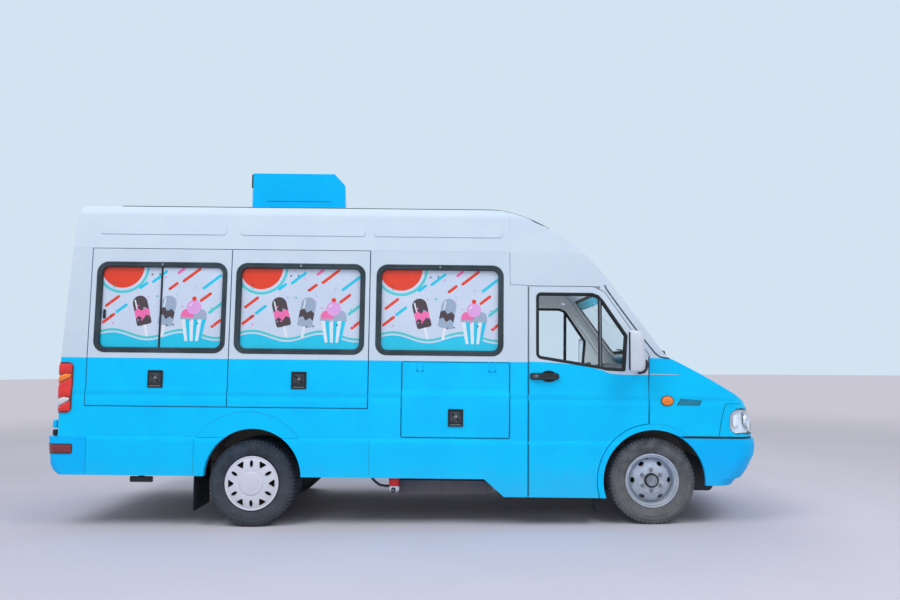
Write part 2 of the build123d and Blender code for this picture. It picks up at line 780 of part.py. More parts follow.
# Chassis: two rails and their cross members
rail_y = 430.0
rail_width = 70.0
rail_height = 130.0
rail_top = floor_z - fit
rail_rear_x = -2880.0
rail_front_x = 2700.0
cross_members = [-2840.0, -1900.0, -700.0, 300.0, 1250.0, 2660.0]
with BuildPart() as chassis_frame:
    for side in (-1, 1):
        with Locations(((rail_rear_x + rail_front_x) / 2, side * rail_y, rail_top - rail_height / 2)):
            Box(rail_front_x - rail_rear_x, rail_width, rail_height)
    with Locations(*[(x, 0, rail_top - rail_height / 2) for x in cross_members]):
        Box(80, 2 * rail_y, rail_height - 30)
keep(chassis_frame.part, "chassis_frame")

# Roof box of the cooling unit
box_x0 = -1515.0
box_x1 = -664.0
box_top = 3070.0
box_half_width = 430.0
box_chamfer = 95.0
box_foot_z = roof_top - 8
with BuildPart() as roof_box:
    with BuildSketch(Plane.XZ.offset(-box_half_width)):
        with BuildLine():
            Polyline((box_x0, box_foot_z - 60), (box_x0, box_top), (box_x1 - box_chamfer, box_top),
                     (box_x1, box_top - box_chamfer), (box_x1, box_foot_z - 60), close=True)
        make_face()
    extrude(amount=2 * box_half_width)
    fillet(roof_box.edges().filter_by(Axis.Z).group_by(Axis.X)[0], 30)
    add(envelope(-fit), mode=Mode.SUBTRACT)
keep(roof_box.part, "roof_box")

# Amber lamps: one each side on the wings, and two on the roof above the cab
with BuildSketch(mode=Mode.PRIVATE) as repeater:
    with Locations((2110.0, 1049.0)):
        Ellipse(55, 44)
with BuildPart() as amber_lamps:
    with BuildPart():
        add(side_block(repeater.sketch))
        add(skin(-16.0, -fit), mode=Mode.INTERSECT)
    with BuildPart():
        add(mirrored(side_block(repeater.sketch)))
        add(skin(-16.0, -fit), mode=Mode.INTERSECT)
    with BuildPart():
        for x in (216.0, 455.0):
            with BuildSketch(Plane.XY.offset(roof_top - 60)):
                with Locations((x, -400), (x, 400)):
                    Circle(38)
            extrude(amount=140, taper=6)
        add(envelope(-fit), mode=Mode.SUBTRACT)
keep(amber_lamps.part, "amber_lamps")


# Wheels. A wheel is drawn about its own centre, outboard being -Y, and is then set on its hub.
rim_radius = 203.0
flange_radius = 222.0
rim_half_width = 84.0
rim_wall = 8.0
vent_count = 6
vent_radius = 22.0
vent_circle = 152.0
stud_circle = 87.0
hub_cap_radius = 55.0
hub_flange_radius = 105.0
front_disc_y = -50.0       # outer face of the front wheel's disc
front_dish_y = -8.0        # where that disc meets the barrel
twin_face_y = (rear_outer_tyre_y + rear_inner_tyre_y) / 2     # where the twin wheels' discs meet
disc_thick = 10.0
cover_radius = 222.0


def tyre_form(wheel_y):
    """Tyre ring with round shoulders, bore down to the rim."""
    half = tyre_width / 2
    bead = rim_half_width - 12 - 2 * fit
    with BuildPart(mode=Mode.PRIVATE) as ring:
        with BuildSketch(Plane.XY) as profile:
            with BuildLine():
                Polyline((rim_radius + fit, -bead), (flange_radius + fit, -bead - 6), (flange_radius + 4, -half + 12))
                ThreePointArc((flange_radius + 4, -half + 12), (288, -half), (tyre_radius - 22, -half + 10))
                ThreePointArc((tyre_radius - 22, -half + 10), (tyre_radius - 5, -half + 17),
                              (tyre_radius, -half + 34))
                Line((tyre_radius, -half + 34), (tyre_radius, half - 34))
                ThreePointArc((tyre_radius, half - 34), (tyre_radius - 5, half - 17),
                              (tyre_radius - 22, half - 10))
                ThreePointArc((tyre_radius - 22, half - 10), (288, half), (flange_radius + 4, half - 12))
                Polyline((flange_radius + 4, half - 12), (flange_radius + fit, bead + 6), (rim_radius + fit, bead),
                         (rim_radius + fit, -bead))
            make_face()
        revolve(axis=Axis.Y)
    return ring.part.moved(Location((0, -wheel_y, 0)))


def rim_form(disc_y, dish_y):
    """Rim with its disc: the disc's flat middle at disc_y, and where the dish meets the barrel."""
    with BuildPart(mode=Mode.PRIVATE) as rim:
        with BuildSketch(Plane.XY):
            with BuildLine():
                Polyline(
                    (flange_radius, -rim_half_width),
                    (flange_radius, -rim_half_width + 6),
                    (rim_radius, -rim_half_width + 12),
                    (rim_radius, rim_half_width - 12),
                    (flange_radius, rim_half_width - 6),
                    (flange_radius, rim_half_width),
                    (rim_radius - rim_wall, rim_half_width - 4),
                    (rim_radius - rim_wall, -rim_half_width + 4),
                    close=True,
                )
            make_face()
        revolve(axis=Axis.Y)
        with BuildSketch(Plane.XY):
            with BuildLine():
                Polyline(
                    (0, disc_y),
                    (hub_flange_radius, disc_y),
                    (rim_radius - rim_wall + 1, dish_y),
                    (rim_radius - rim_wall + 1, dish_y + disc_thick),
                    (hub_flange_radius, disc_y + disc_thick),
                    (0, disc_y + disc_thick),
                    close=True,
                )
            make_face()
        revolve(axis=Axis.Y)
        with BuildSketch(Plane.XZ.offset(300)):
            with PolarLocations(vent_circle, vent_count):
                Circle(vent_radius)
        extrude(amount=-600, mode=Mode.SUBTRACT)
    return rim.part


def on_hub(piece, hub):
    return piece.moved(Location((hub[0], 0, hub[1])))


with BuildPart() as tyre_front:
    add(on_hub(tyre_form(front_tyre_y), front_hub))
keep_pair(tyre_front.part, "tyre_front")
with BuildPart() as tyres_rear:
    add(on_hub(tyre_form(rear_outer_tyre_y), rear_hub))
    add(on_hub(tyre_form(rear_inner_tyre_y), rear_hub))
keep_pair(tyres_rear.part, "tyres_rear")

with BuildPart() as front_rim:
    add(rim_form(front_disc_y, front_dish_y).moved(Location((0, -front_tyre_y, 0))))
    with BuildSketch(Plane.XZ.offset(front_tyre_y - front_disc_y)):
        Circle(hub_cap_radius)
    extrude(amount=34, taper=8)
    with BuildSketch(Plane.XZ.offset(front_tyre_y - front_disc_y)):
        with PolarLocations(stud_circle, 6):
            RegularPolygon(11, 6)
    extrude(amount=16)
with BuildPart() as wheel_front:
    add(on_hub(front_rim.part, front_hub))
keep_pair(wheel_front.part, "wheel_front")

outer_disc_y = -twin_face_y + rear_outer_tyre_y - disc_thick - fit / 2
with BuildPart() as twin_rims:
    add(rim_form(outer_disc_y, 40.0).moved(Location((0, -rear_outer_tyre_y, 0))))
    with BuildPart():
        add(mirrored(rim_form(outer_disc_y, 40.0)).moved(Location((0, -rear_inner_tyre_y, 0))))
    with BuildSketch(Plane.XZ.offset(twin_face_y + fit / 2 + disc_thick)):
        Circle(hub_cap_radius + 20)
    extrude(amount=70)
with BuildPart() as wheels_rear:
    add(on_hub(twin_rims.part, rear_hub))
keep_pair(wheels_rear.part, "wheels_rear")

# Cover over the outer rear rim: a shallow dish with six windows and a plain middle
cover_y = rear_outer_tyre_y + rim_half_width + fit
cover_depth = 26.0
cover_thick = 4.0
with BuildPart() as cover_form:
    with BuildSketch(Plane.XY):
        with BuildLine():
            Polyline(
                (0, -cover_depth),
                (96, -cover_depth),
                (110, -cover_depth + 6),
                (180, -cover_depth + 8),
                (cover_radius, -cover_thick),
                (cover_radius, 0),
                (178, -cover_depth + 8 + cover_thick),
                (110, -cover_depth + 6 + cover_thick),
                (0, -cover_depth + cover_thick + 2),
                close=True,
            )
        make_face()
    revolve(axis=Axis.Y)
    with BuildSketch(Plane.XZ.offset(-20)):
        with PolarLocations(148, 6, start_angle=30):
            RegularPolygon(30, 3)
        fillet(vertices(), 8)
        with PolarLocations(140, 6):
            Ellipse(6, 11)
    extrude(amount=100, mode=Mode.SUBTRACT)
with BuildPart() as wheel_cover:
    add(on_hub(cover_form.part.moved(Location((0, -cover_y, 0))), rear_hub))
keep_pair(wheel_cover.part, "wheel_cover")

# Front suspension: a cross beam with a fork round each knuckle
knuckle_radius = 26.0
knuckle_half_height = 96.0
fork_thick = 26.0
beam_height = 80.0
beam_drop = 42.0
stub_radius = 26.0
disc_inner_y = front_tyre_y - front_disc_y - disc_thick
with BuildPart() as knuckle:
    with Locations((front_hub[0], -kingpin_y, front_hub[1])):
        Cylinder(knuckle_radius, 2 * knuckle_half_height)
    with BuildSketch(Plane.XZ.offset(kingpin_y)):
        with Locations(front_hub):
            Circle(stub_radius)
    extrude(amount=disc_inner_y - kingpin_y - 14)
    with BuildSketch(Plane.XZ.offset(disc_inner_y - 14)):
        with Locations(front_hub):
            Circle(72)
    extrude(amount=14 - fit)
    with BuildSketch(Plane.XZ.offset(disc_inner_y - 44)):
        with Locations(front_hub):
            Circle(138)
    extrude(amount=12)
keep_pair(knuckle.part, "knuckle")

with BuildPart() as front_suspension:
    with Locations((front_hub[0], 0, front_hub[1] - beam_drop - beam_height / 2)):
        Box(70, 2 * (kingpin_y - 60), beam_height)
    for side in (-1, 1):
        with Locations((front_hub[0], side * (kingpin_y - 60), front_hub[1])):
            Box(70, 44, 2 * (knuckle_half_height + fit + fork_thick))
        for end in (-1, 1):
            with Locations((front_hub[0], side * (kingpin_y - 26),
                            front_hub[1] + end * (knuckle_half_height + fit + fork_thick / 2))):
                Box(60, 110, fork_thick)
        beam_top = front_hub[1] - beam_drop
        post = rail_top - rail_height - beam_top
        with Locations((front_hub[0], side * rail_y, beam_top + post / 2)):
            Box(90, rail_width, post)
keep(front_suspension.part, "front_suspension")

# Rear axle on leaf springs
axle_radius = 48.0
drum_radius = 140.0
drum_outer_y = 688.0
spring_reach = 620.0
spring_width = 60.0
spring_rise = 46.0
rail_under = rail_top - rail_height
with BuildPart() as rear_axle:
    with BuildSketch(Plane.XZ.offset(-twin_face_y + disc_thick + fit)):
        with Locations(rear_hub):
            Circle(axle_radius)
    extrude(amount=2 * (twin_face_y - disc_thick - fit))
    for side in (-1, 1):
        with BuildSketch(Plane.XZ.offset(side * drum_outer_y)):
            with Locations(rear_hub):
                Circle(drum_radius)
        extrude(amount=-side * 110)
        with BuildSketch(Plane.XZ.offset(side * (twin_face_y - disc_thick - fit))):
            with Locations(rear_hub):
                Circle(90)
        extrude(amount=-side * 60)
    with Locations((rear_hub[0], 0, rear_hub[1])):
        Sphere(130)
    for side in (-1, 1):
        with BuildSketch(Plane.XZ.offset(side * rail_y - spring_width / 2)):
            with BuildLine():
                low = rear_hub[1] + axle_radius - 6
                high = rail_under - 2
                ThreePointArc((rear_hub[0] - spring_reach, high - 22), (rear_hub[0], low),
                              (rear_hub[0] + spring_reach, high - 22))
                Line((rear_hub[0] + spring_reach, high - 22), (rear_hub[0] + spring_reach, rail_under - fit))
                Line((rear_hub[0] + spring_reach, rail_under - fit), (rear_hub[0] + spring_reach - 40, rail_under - fit))
                ThreePointArc((rear_hub[0] + spring_reach - 40, rail_under - fit), (rear_hub[0], low + 30),
                              (rear_hub[0] - spring_reach + 40, rail_under - fit))
                Polyline((rear_hub[0] - spring_reach + 40, rail_under - fit),
                         (rear_hub[0] - spring_reach, rail_under - fit),
                         (rear_hub[0] - spring_reach, high - 22))
            make_face()
        extrude(amount=spring_width)
keep(rear_axle.part, "rear_axle")

# Engine, fuel tank and exhaust
engine_x0 = 2120.0
engine_x1 = 2620.0
engine_z0 = 470.0
engine_z1 = 1000.0
with BuildPart() as engine:
    with Locations(((engine_x0 + engine_x1) / 2, 0, (engine_z0 + engine_z1) / 2)):
        Box(engine_x1 - engine_x0, 640, engine_z1 - engine_z0)
    chamfer(engine.edges().filter_by(Axis.X).group_by(Axis.Z)[-1], 60)
    with Locations(((engine_x0 + engine_x1) / 2, 0, engine_z0 + 60)):
        Box(120, 2 * (rail_y - rail_width / 2 - fit), 60)
keep(engine.part, "engine")

tank_x0 = -700.0
tank_x1 = 150.0
tank_y0 = 520.0
tank_y1 = 860.0
tank_z0 = 300.0
with BuildPart() as fuel_tank:
    with BuildSketch(Plane.XZ.offset(-tank_y1)):
        add(pane(tank_x0, tank_x1, tank_z0, floor_z - 60, 50))
    extrude(amount=tank_y1 - tank_y0)
    with Locations((tank_x0 + 150, (tank_y0 + tank_y1) / 2, floor_z - 60 + (60 - fit) / 2),
                   (tank_x1 - 150, (tank_y0 + tank_y1) / 2, floor_z - 60 + (60 - fit) / 2)):
        Box(40, tank_y1 - tank_y0 - 60, 60 - fit)
keep(fuel_tank.part, "fuel_tank")


# The exhaust runs below the cross members and over the axle, down to the left behind
pipe_radius = 24.0
pipe_z = rail_top - rail_height + 8
silencer_radius = 85.0
with BuildPart() as exhaust:
    with BuildLine() as pipe_path:
        FilletPolyline(
            (engine_x0 + 60, -150, engine_z0 - 40),
            (1750, -150, engine_z0 - 60),
            (1500, -150, 400),
            (-620, -150, 400),
            (-900, -200, 430),
            (-1100, -200, 480),
            (-1550, -200, 480),
            (-1800, -220, 400),
            (-2880, -220, 390),
            radius=90,
        )
    with BuildSketch(Plane(pipe_path.line @ 0, z_dir=pipe_path.line % 0)):
        Circle(pipe_radius)
    sweep()
    with BuildSketch(Plane.YZ.offset(-600)):
        with Locations((-150, 400)):
            Circle(silencer_radius)
    extrude(amount=700)
    for x, y, z in [(-200.0, -150.0, 400.0), (400.0, -150.0, 400.0), (-2400.0, -220.0, 390.0)]:
        with Locations((x, y, (z + rail_top) / 2)):
            Box(20, 30, rail_top - z)
keep(exhaust.part, "exhaust")

# Locker tray under the floor, on hangers, with ribs down its outer side
tray_x0 = -100.0
tray_x1 = 680.0
tray_y0 = 560.0
tray_y1 = 926.0
tray_z0 = 262.0
tray_z1 = 372.0
tray_wall = 12.0
rib_xs = [262.0, 610.0]
with BuildPart() as under_locker:
    with BuildSketch(Plane.YZ.offset(tray_x0)):
        with BuildLine():
            Polyline((-tray_y0, tray_z1), (-tray_y0, tray_z0), (-tray_y1 + 30, tray_z0), (-tray_y1, tray_z1),
                     (-tray_y1 + tray_wall, tray_z1), (-tray_y1 + 30 + tray_wall, tray_z0 + tray_wall),
                     (-tray_y0 - tray_wall, tray_z0 + tray_wall), (-tray_y0 - tray_wall, tray_z1), close=True)
        make_face()
    extrude(amount=tray_x1 - tray_x0)
    with BuildSketch(Plane.YZ.offset(tray_x0), Plane.YZ.offset(tray_x1 - tray_wall)):
        with BuildLine():
            Polyline((-tray_y0, tray_z1), (-tray_y0, tray_z0), (-tray_y1 + 30, tray_z0), (-tray_y1, tray_z1),
                     close=True)
        make_face()
    extrude(amount=tray_wall)
    for x in rib_xs:
        with BuildSketch(Plane.YZ.offset(x - 9)):
            with BuildLine():
                Polyline((-tray_y1 + 28, tray_z0), (-tray_y1 + 18, tray_z0 - 4), (-tray_y1 - 10, tray_z1),
                         (-tray_y1 + 4, tray_z1), close=True)
            make_face()
        extrude(amount=18)
    for x in (tray_x0 + 60, tray_x1 - 60):
        with Locations((x, -tray_y0 - 6, (tray_z0 + rail_top) / 2)):
            Box(40, tray_wall, rail_top - tray_z0)
keep(under_locker.part, "under_locker")

# Power inlet under the sill, with its lid and the conduit that the body holds
inlet_x = -148.0
with BuildPart() as power_inlet:
    with BuildPart():
        with Locations((inlet_x, -925, 318)):
            Box(84, 90, 100)
        fillet(edges().filter_by(Axis.Z), 12)
        with Locations((inlet_x, -925, 381)):
            Box(92, 98, 26)
        with Locations((inlet_x, -875, 470)):
            Box(40, 10, 2 * (rail_top - 470))
        with BuildLine(Plane.XZ.offset(925)) as conduit_path:
            FilletPolyline((inlet_x - 40, 320), (inlet_x - 110, 330), (inlet_x - 190, 400), (inlet_x - 200, 470),
                           radius=40)
        with BuildSketch(Plane(conduit_path.line @ 0, z_dir=conduit_path.line % 0)):
            Circle(11)
        sweep()
keep(power_inlet.part, "power_inlet")

# Mudflaps behind the wheels
with BuildPart() as mudflaps:
    for side in (-1, 1):
        with Locations((-1790, side * 735, 340)):
            Box(8, 410, 2 * (rail_top - 340))
        with Locations((1534, side * 845, 190)):
            Box(8, 230, 128)
keep(mudflaps.part, "mudflaps")

# Steering wheel, dashboard and seats
wheel_centre = (1560.0, 430.0, 1215.0)
wheel_tilt = 38.0
wheel_ring = 215.0
column_plane = Plane(origin=wheel_centre, x_dir=(0, 1, 0),
                     z_dir=(-math.sin(math.radians(wheel_tilt)), 0, math.cos(math.radians(wheel_tilt))))
with BuildPart() as steering_wheel:
    with BuildSketch(Plane(column_plane.origin, x_dir=column_plane.x_dir, z_dir=column_plane.y_dir)):
        with Locations((wheel_ring, 0)):
            Circle(14)
    revolve(axis=Axis(column_plane.origin, column_plane.z_dir))
    with BuildSketch(column_plane.offset(-26)):
        Circle(62)
        Rectangle(2 * wheel_ring, 30)
        with Locations((0, -wheel_ring / 2)):
            Rectangle(30, wheel_ring)
    extrude(amount=22)
    with BuildSketch(column_plane.offset(-60)):
        Circle(22)
    extrude(amount=40)
keep(steering_wheel.part, "steering_wheel")

with BuildPart() as dashboard:
    with BuildSketch(Plane.XZ.offset(-920)):
        with BuildLine():
            Polyline((bulkhead_x - box_wall - fit, 1000), (bulkhead_x - box_wall - fit, 1320), (1940, 1345),
                     (1800, 1300), (1770, 1180), (1840, 1000), close=True)
        make_face()
        fillet(vertices().group_by(Axis.X)[0], 30)
    extrude(amount=1840)
    with BuildSketch(column_plane.offset(-60 - fit)):
        Circle(44)
    extrude(amount=-560)
    with Locations((1850, wheel_centre[1], 930)):
        Box(60, 60, 180)
keep(dashboard.part, "dashboard")

seat_y = 480.0
seat_x = 1010.0
seat_z = 890.0
with BuildPart() as seat_frames:
    for side in (-1, 1):
        with Locations((seat_x + 250, side * seat_y, (floor_z + floor_thick + fit + seat_z) / 2)):
            Box(420, 420, seat_z - floor_z - floor_thick - fit)
keep(seat_frames.part, "seat_frames")
with BuildPart() as seat_cushions:
    for side in (-1, 1):
        with BuildPart():
            with Locations((seat_x + 245, side * seat_y, seat_z + fit + 60)):
                Box(500, 500, 120)
            fillet(edges(), 36)
        with BuildPart():
            with BuildSketch(Plane.XZ.offset(-side * seat_y - 235)):
                with BuildLine():
                    Polyline((seat_x - 20, seat_z + 120 + 2 * fit), (seat_x + 118, seat_z + 120 + 2 * fit),
                             (seat_x - 45, 1700), (seat_x - 145, 1700), close=True)
                make_face()
            extrude(amount=470)
            fillet(edges(), 30)
keep(seat_cushions.part, "seat_cushions")

# Wipers parked across the foot of the screen
with BuildPart() as wipers:
    for y in (-420.0, 330.0):
        with BuildPart():
            with BuildSketch(screen_plane.offset(fit)):
                with Locations((y, -screen_run + 18)):
                    Circle(15)
            extrude(amount=28)
            with BuildSketch(screen_plane.offset(14)):
                with Locations((y + 210, -screen_run + 70)):
                    Rectangle(440, 14, rotation=14)
            extrude(amount=9)
keep(wipers.part, "wipers")
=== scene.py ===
import math
import random

import bmesh
import bpy
from mathutils import Matrix, Vector


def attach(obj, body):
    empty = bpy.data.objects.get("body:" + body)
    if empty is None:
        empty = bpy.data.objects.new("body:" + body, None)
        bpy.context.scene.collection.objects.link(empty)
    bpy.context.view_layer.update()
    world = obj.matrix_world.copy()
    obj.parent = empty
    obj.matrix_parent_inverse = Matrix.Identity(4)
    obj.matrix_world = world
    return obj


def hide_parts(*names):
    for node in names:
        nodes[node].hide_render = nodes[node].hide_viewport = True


# An ice cream truck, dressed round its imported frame. Metres, +X forward, +Y left, +Z up.
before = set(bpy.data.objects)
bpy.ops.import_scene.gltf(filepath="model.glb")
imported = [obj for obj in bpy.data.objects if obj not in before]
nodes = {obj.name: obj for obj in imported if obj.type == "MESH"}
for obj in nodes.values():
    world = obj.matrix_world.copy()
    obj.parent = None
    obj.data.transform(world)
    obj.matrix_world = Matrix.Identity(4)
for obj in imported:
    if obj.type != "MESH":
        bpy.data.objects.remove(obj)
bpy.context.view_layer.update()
print("frame loaded:", len(nodes), "nodes")

scene = bpy.context.scene
scene.view_settings.view_transform = "Standard"

# Pieces that fill an opening of the frame stop this short of its edge
fitGap = 0.0003

# The body leans nose down by this much: its pieces are drawn level and are turned as they are added
rake = math.radians(0.9)
bodyTurn = Matrix.Rotation(rake, 4, "Y")
upInBody = (math.sin(rake), 0.0, math.cos(rake))
alongInBody = (math.cos(rake), 0.0, -math.sin(rake))

# Edges sharper than this many degrees stay sharp
smoothAngle = 35.0

# Half width of the body's side at each height, and the belt where it starts to lean in
beltHeight = 1.356
sideSection = [(0.1, 1.0), (0.702, 1.0), (0.708, 0.994), (1.072, 0.994), (1.12, 0.984),
    (beltHeight, 0.984), (2.275, 0.955), (2.65, 0.905)]


def halfWidthAt(z):
    for (z0, y0), (z1, y1) in zip(sideSection, sideSection[1:]):
        if z <= z1:
            return y0 + (y1 - y0) * (z - z0) / (z1 - z0)
    return sideSection[-1][1]


# the right side is -1 across, the left one 1
bothSides = (("Right", -1), ("Left", 1))


def onSide(side):
    # side view x and z, and how far out of the body's skin
    return lambda x, z, out: Vector((x, side * (halfWidthAt(z) + out), z))


def onPlane(origin, across, up):
    # a flat place: across and up in the plane, out along its normal
    out = across.cross(up).normalized()
    return lambda u, v, w: origin + across * u + up * v + out * w


# Outlines: closed lists of (across, up) points

def turnedLeft(points):
    area = sum(a[0] * b[1] - b[0] * a[1] for a, b in zip(points, points[1:] + points[:1]))
    return points if area > 0 else points[::-1]


def roundedOutline(corners, radius, steps=8):
    # each corner becomes an arc; a corner may bring its own radius as a third value
    corners = turnedLeft([tuple(c) for c in corners])
    outline = []
    for i, corner in enumerate(corners):
        here = Vector(corner[:2])
        back = (Vector(corners[i - 1][:2]) - here).normalized()
        ahead = (Vector(corners[(i + 1) % len(corners)][:2]) - here).normalized()
        size = corner[2] if len(corner) > 2 else radius
        half = back.angle(ahead) / 2
        middle = here + (back + ahead).normalized() * size / math.sin(half)
        first = here + back * size / math.tan(half) - middle
        last = here + ahead * size / math.tan(half) - middle
        sweep = first.angle_signed(last)
        for k in range(steps + 1):
            turn = Matrix.Rotation(-sweep * k / steps, 2)
            outline.append(tuple(middle + turn @ first))
    return outline


def roundedRect(x0, x1, z0, z1, radius, steps=8):
    return roundedOutline([(x0, z0), (x1, z0), (x1, z1), (x0, z1)], radius, steps)


def turns(count):
    # that many angles round a circle
    return [2 * math.pi * k / count for k in range(count)]


def oval(x, z, radiusX, radiusZ, steps=32):
    return [(x + radiusX * math.cos(a), z + radiusZ * math.sin(a)) for a in turns(steps)]


def insetOutline(points, amount):
    if not amount:
        return points
    moved = []
    for i, here in enumerate(points):
        back = Vector(here) - Vector(points[i - 1])
        ahead = Vector(points[(i + 1) % len(points)]) - Vector(here)
        n1 = Vector((-back.y, back.x)).normalized()
        n2 = Vector((-ahead.y, ahead.x)).normalized()
        share = amount / max(0.2, 1 + n1.dot(n2))
        moved.append((here[0] + (n1.x + n2.x) * share, here[1] + (n1.y + n2.y) * share))
    return moved


class Shape:
    # collects the points and faces of one piece; tint is the number of a face's material
    def __init__(self):
        self.points, self.faces, self.tints = [], [], []

    def add(self, points, faces, tint=0):
        base = len(self.points)
        self.points += [tuple(p) for p in points]
        self.faces += [[base + i for i in face] for face in faces]
        self.tints += [tint] * len(faces)

    def loft(self, loops, tint=0, caps=(True, True), ring=False):
        # joins loops of equal length; ring joins the last loop to the first
        count = len(loops[0])
        faces = []
        spans = len(loops) if ring else len(loops) - 1
        for i in range(spans):
            low, high = i * count, (i + 1) % len(loops) * count
            for k in range(count):
                n = (k + 1) % count
                faces.append([low + k, low + n, high + n, high + k])
        if not ring and caps[0]:
            faces.append(list(range(count))[::-1])
        if not ring and caps[1]:
            faces.append([(len(loops) - 1) * count + k for k in range(count)])
        self.add([p for loop in loops for p in loop], faces, tint)

    def slab(self, outline, levels, place, tint=0, ring=False, caps=(True, True)):
        # an outline at each (inset, height) of levels
        loops = [[place(u, v, height) for u, v in insetOutline(outline, inset)] for inset, height in levels]
        self.loft(loops, tint, caps, ring)

    def revolve(self, profile, centre, steps=64, tint=0, axis="Y", ring=False, caps=(True, True)):
        # profile of (radius, along) turned about an axis through centre
        loops = []
        for radius, along in profile:
            loop = []
            for a in turns(steps):
                c, s = radius * math.cos(a), radius * math.sin(a)
                offset = {"Y": (c, along, s), "X": (along, c, s), "Z": (c, s, along)}[axis]
                loop.append(Vector(centre) + Vector(offset))
            loops.append(loop)
        self.loft(loops, tint, caps, ring)

    def tube(self, path, radius, sides=10, tint=0, flat=1.0):
        # a round bar along a list of points
        path = [Vector(p) for p in path]
        loops = []
        lastSide = None
        for i, here in enumerate(path):
            along = (path[min(i + 1, len(path) - 1)] - path[max(i - 1, 0)]).normalized()
            side = along.cross(Vector((0, 0, 1)) if abs(along.z) < 0.9 else Vector((1, 0, 0))).normalized()
            if lastSide is not None:
                side = (lastSide - along * lastSide.dot(along)).normalized()
            lastSide = side
            up = side.cross(along)
            loops.append([here + side * radius * math.cos(a) + up * radius * flat * math.sin(a)
                for a in turns(sides)])
        self.loft(loops, tint)

    def block(self, centre, size, bevel=0.004, tint=0, turn=None):
        # a box with soft edges
        x, y, z = (s / 2 for s in size)
        outline = roundedRect(-x, x, -y, y, min(bevel * 2, x * 0.9, y * 0.9), 3)
        levels = [(bevel, -z), (0, -z + bevel), (0, z - bevel), (bevel, z)]
        loops = []
        for inset, height in levels:
            loop = [Vector((u, v, height)) for u, v in insetOutline(outline, inset)]
            loops.append([Vector(centre) + (turn @ p if turn else p) for p in loop])
        self.loft(loops, tint)

    def finish(self, name, body, slot, *looks, replaces=None, smooth=smoothAngle):
        # looks are its finishes in the order of the tints; the wheels stand level and the rest leans
        mesh = bpy.data.meshes.new(name)
        mesh.from_pydata(self.points, [], self.faces)
        mesh.polygons.foreach_set("material_index", self.tints)
        if "wheel" not in body:
            mesh.transform(bodyTurn)
        form = bmesh.new()
        form.from_mesh(mesh)
        bmesh.ops.recalc_face_normals(form, faces=form.faces)
        form.to_mesh(mesh)
        form.free()
        mesh.shade_smooth()
        mesh.set_sharp_from_angle(angle=math.radians(smooth))
        for look in looks:
            mesh.materials.append(finishes[look])
        piece = bpy.data.objects.new(name, mesh)
        scene.collection.objects.link(piece)
        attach(piece, body)
        if replaces:
            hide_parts(replaces)
        return piece


# Materials

def srgb(red, green, blue):
    # a colour of 0 to 255 as the shaders take it
    parts = [c / 255 for c in (red, green, blue)]
    return [p / 12.92 if p <= 0.04045 else ((p + 0.055) / 1.055) ** 2.4 for p in parts] + [1.0]


def addNode(tree, kind, inputs=None, **settings):
    node = tree.nodes.new("ShaderNode" + kind)
    for key, value in settings.items():
        setattr(node, key, value)
    for key, value in (inputs or {}).items():
        if isinstance(value, bpy.types.NodeSocket):
            tree.links.new(value, node.inputs[key])
        else:
            node.inputs[key].default_value = value
    return node


def mathNode(tree, operation, a, b=0.0, clamp=False):
    return addNode(tree, "Math", {0: a, 1: b}, operation=operation, use_clamp=clamp).outputs[0]


def mixColour(tree, factor, a, b, mode="MIX"):
    return addNode(tree, "Mix", {0: factor, 6: a, 7: b}, data_type="RGBA", blend_type=mode).outputs[2]


def remap(tree, value, low, high, toLow=0.0, toHigh=1.0, smooth=False):
    kind = "SMOOTHSTEP" if smooth else "LINEAR"
    return addNode(tree, "MapRange", {"Value": value, "From Min": low, "From Max": high, "To Min": toLow,
        "To Max": toHigh}, interpolation_type=kind).outputs[0]


def newGroup(name, inputs, outputs):
    group = bpy.data.node_groups.new(name, "ShaderNodeTree")
    for label, value in inputs.items():
        socket = group.interface.new_socket(label, in_out="INPUT", socket_type="NodeSocketFloat")
        socket.default_value = value
    for label in outputs:
        kind = "NodeSocketVector" if label == "Normal" else "NodeSocketFloat"
        group.interface.new_socket(label, in_out="OUTPUT", socket_type=kind)
    return group, group.nodes.new("NodeGroupInput").outputs, group.nodes.new("NodeGroupOutput").inputs


def objectPoint(tree):
    return addNode(tree, "TexCoord").outputs["Object"]


def makeFineGrain():
    # small grain for bump, and broad soft blotches for colour and gloss
    group, given, out = newGroup("fineGrain", {"Scale": 200.0, "Blotch Scale": 4.0}, ("Height", "Blotch"))
    point = objectPoint(group)
    grain = addNode(group, "TexNoise", {"Vector": point, "Scale": given["Scale"], "Detail": 3.0})
    blotch = addNode(group, "TexNoise", {"Vector": point, "Scale": given["Blotch Scale"], "Detail": 6.0,
        "Roughness": 0.6})
    group.links.new(grain.outputs["Fac"], out["Height"])
    group.links.new(remap(group, blotch.outputs["Fac"], 0.35, 0.65, smooth=True), out["Blotch"])
    return group


def makeRoadDirt():
    # dirt that is thick low down and fades out with height, broken up by noise
    group, given, out = newGroup("roadDirt", {"Low": 0.2, "High": 0.9, "Scale": 6.0, "Amount": 0.5},
        ("Mask",))
    point = objectPoint(group)
    height = addNode(group, "SeparateXYZ", {0: point}).outputs[2]
    patches = addNode(group, "TexNoise", {"Vector": point, "Scale": given["Scale"], "Detail": 8.0,
        "Roughness": 0.68}).outputs["Fac"]
    fade = remap(group, height, given["High"], given["Low"])
    broken = remap(group, mathNode(group, "ADD", fade, patches), 0.55, 1.35, smooth=True)
    group.links.new(mathNode(group, "MULTIPLY", broken, given["Amount"], True), out["Mask"])
    return group


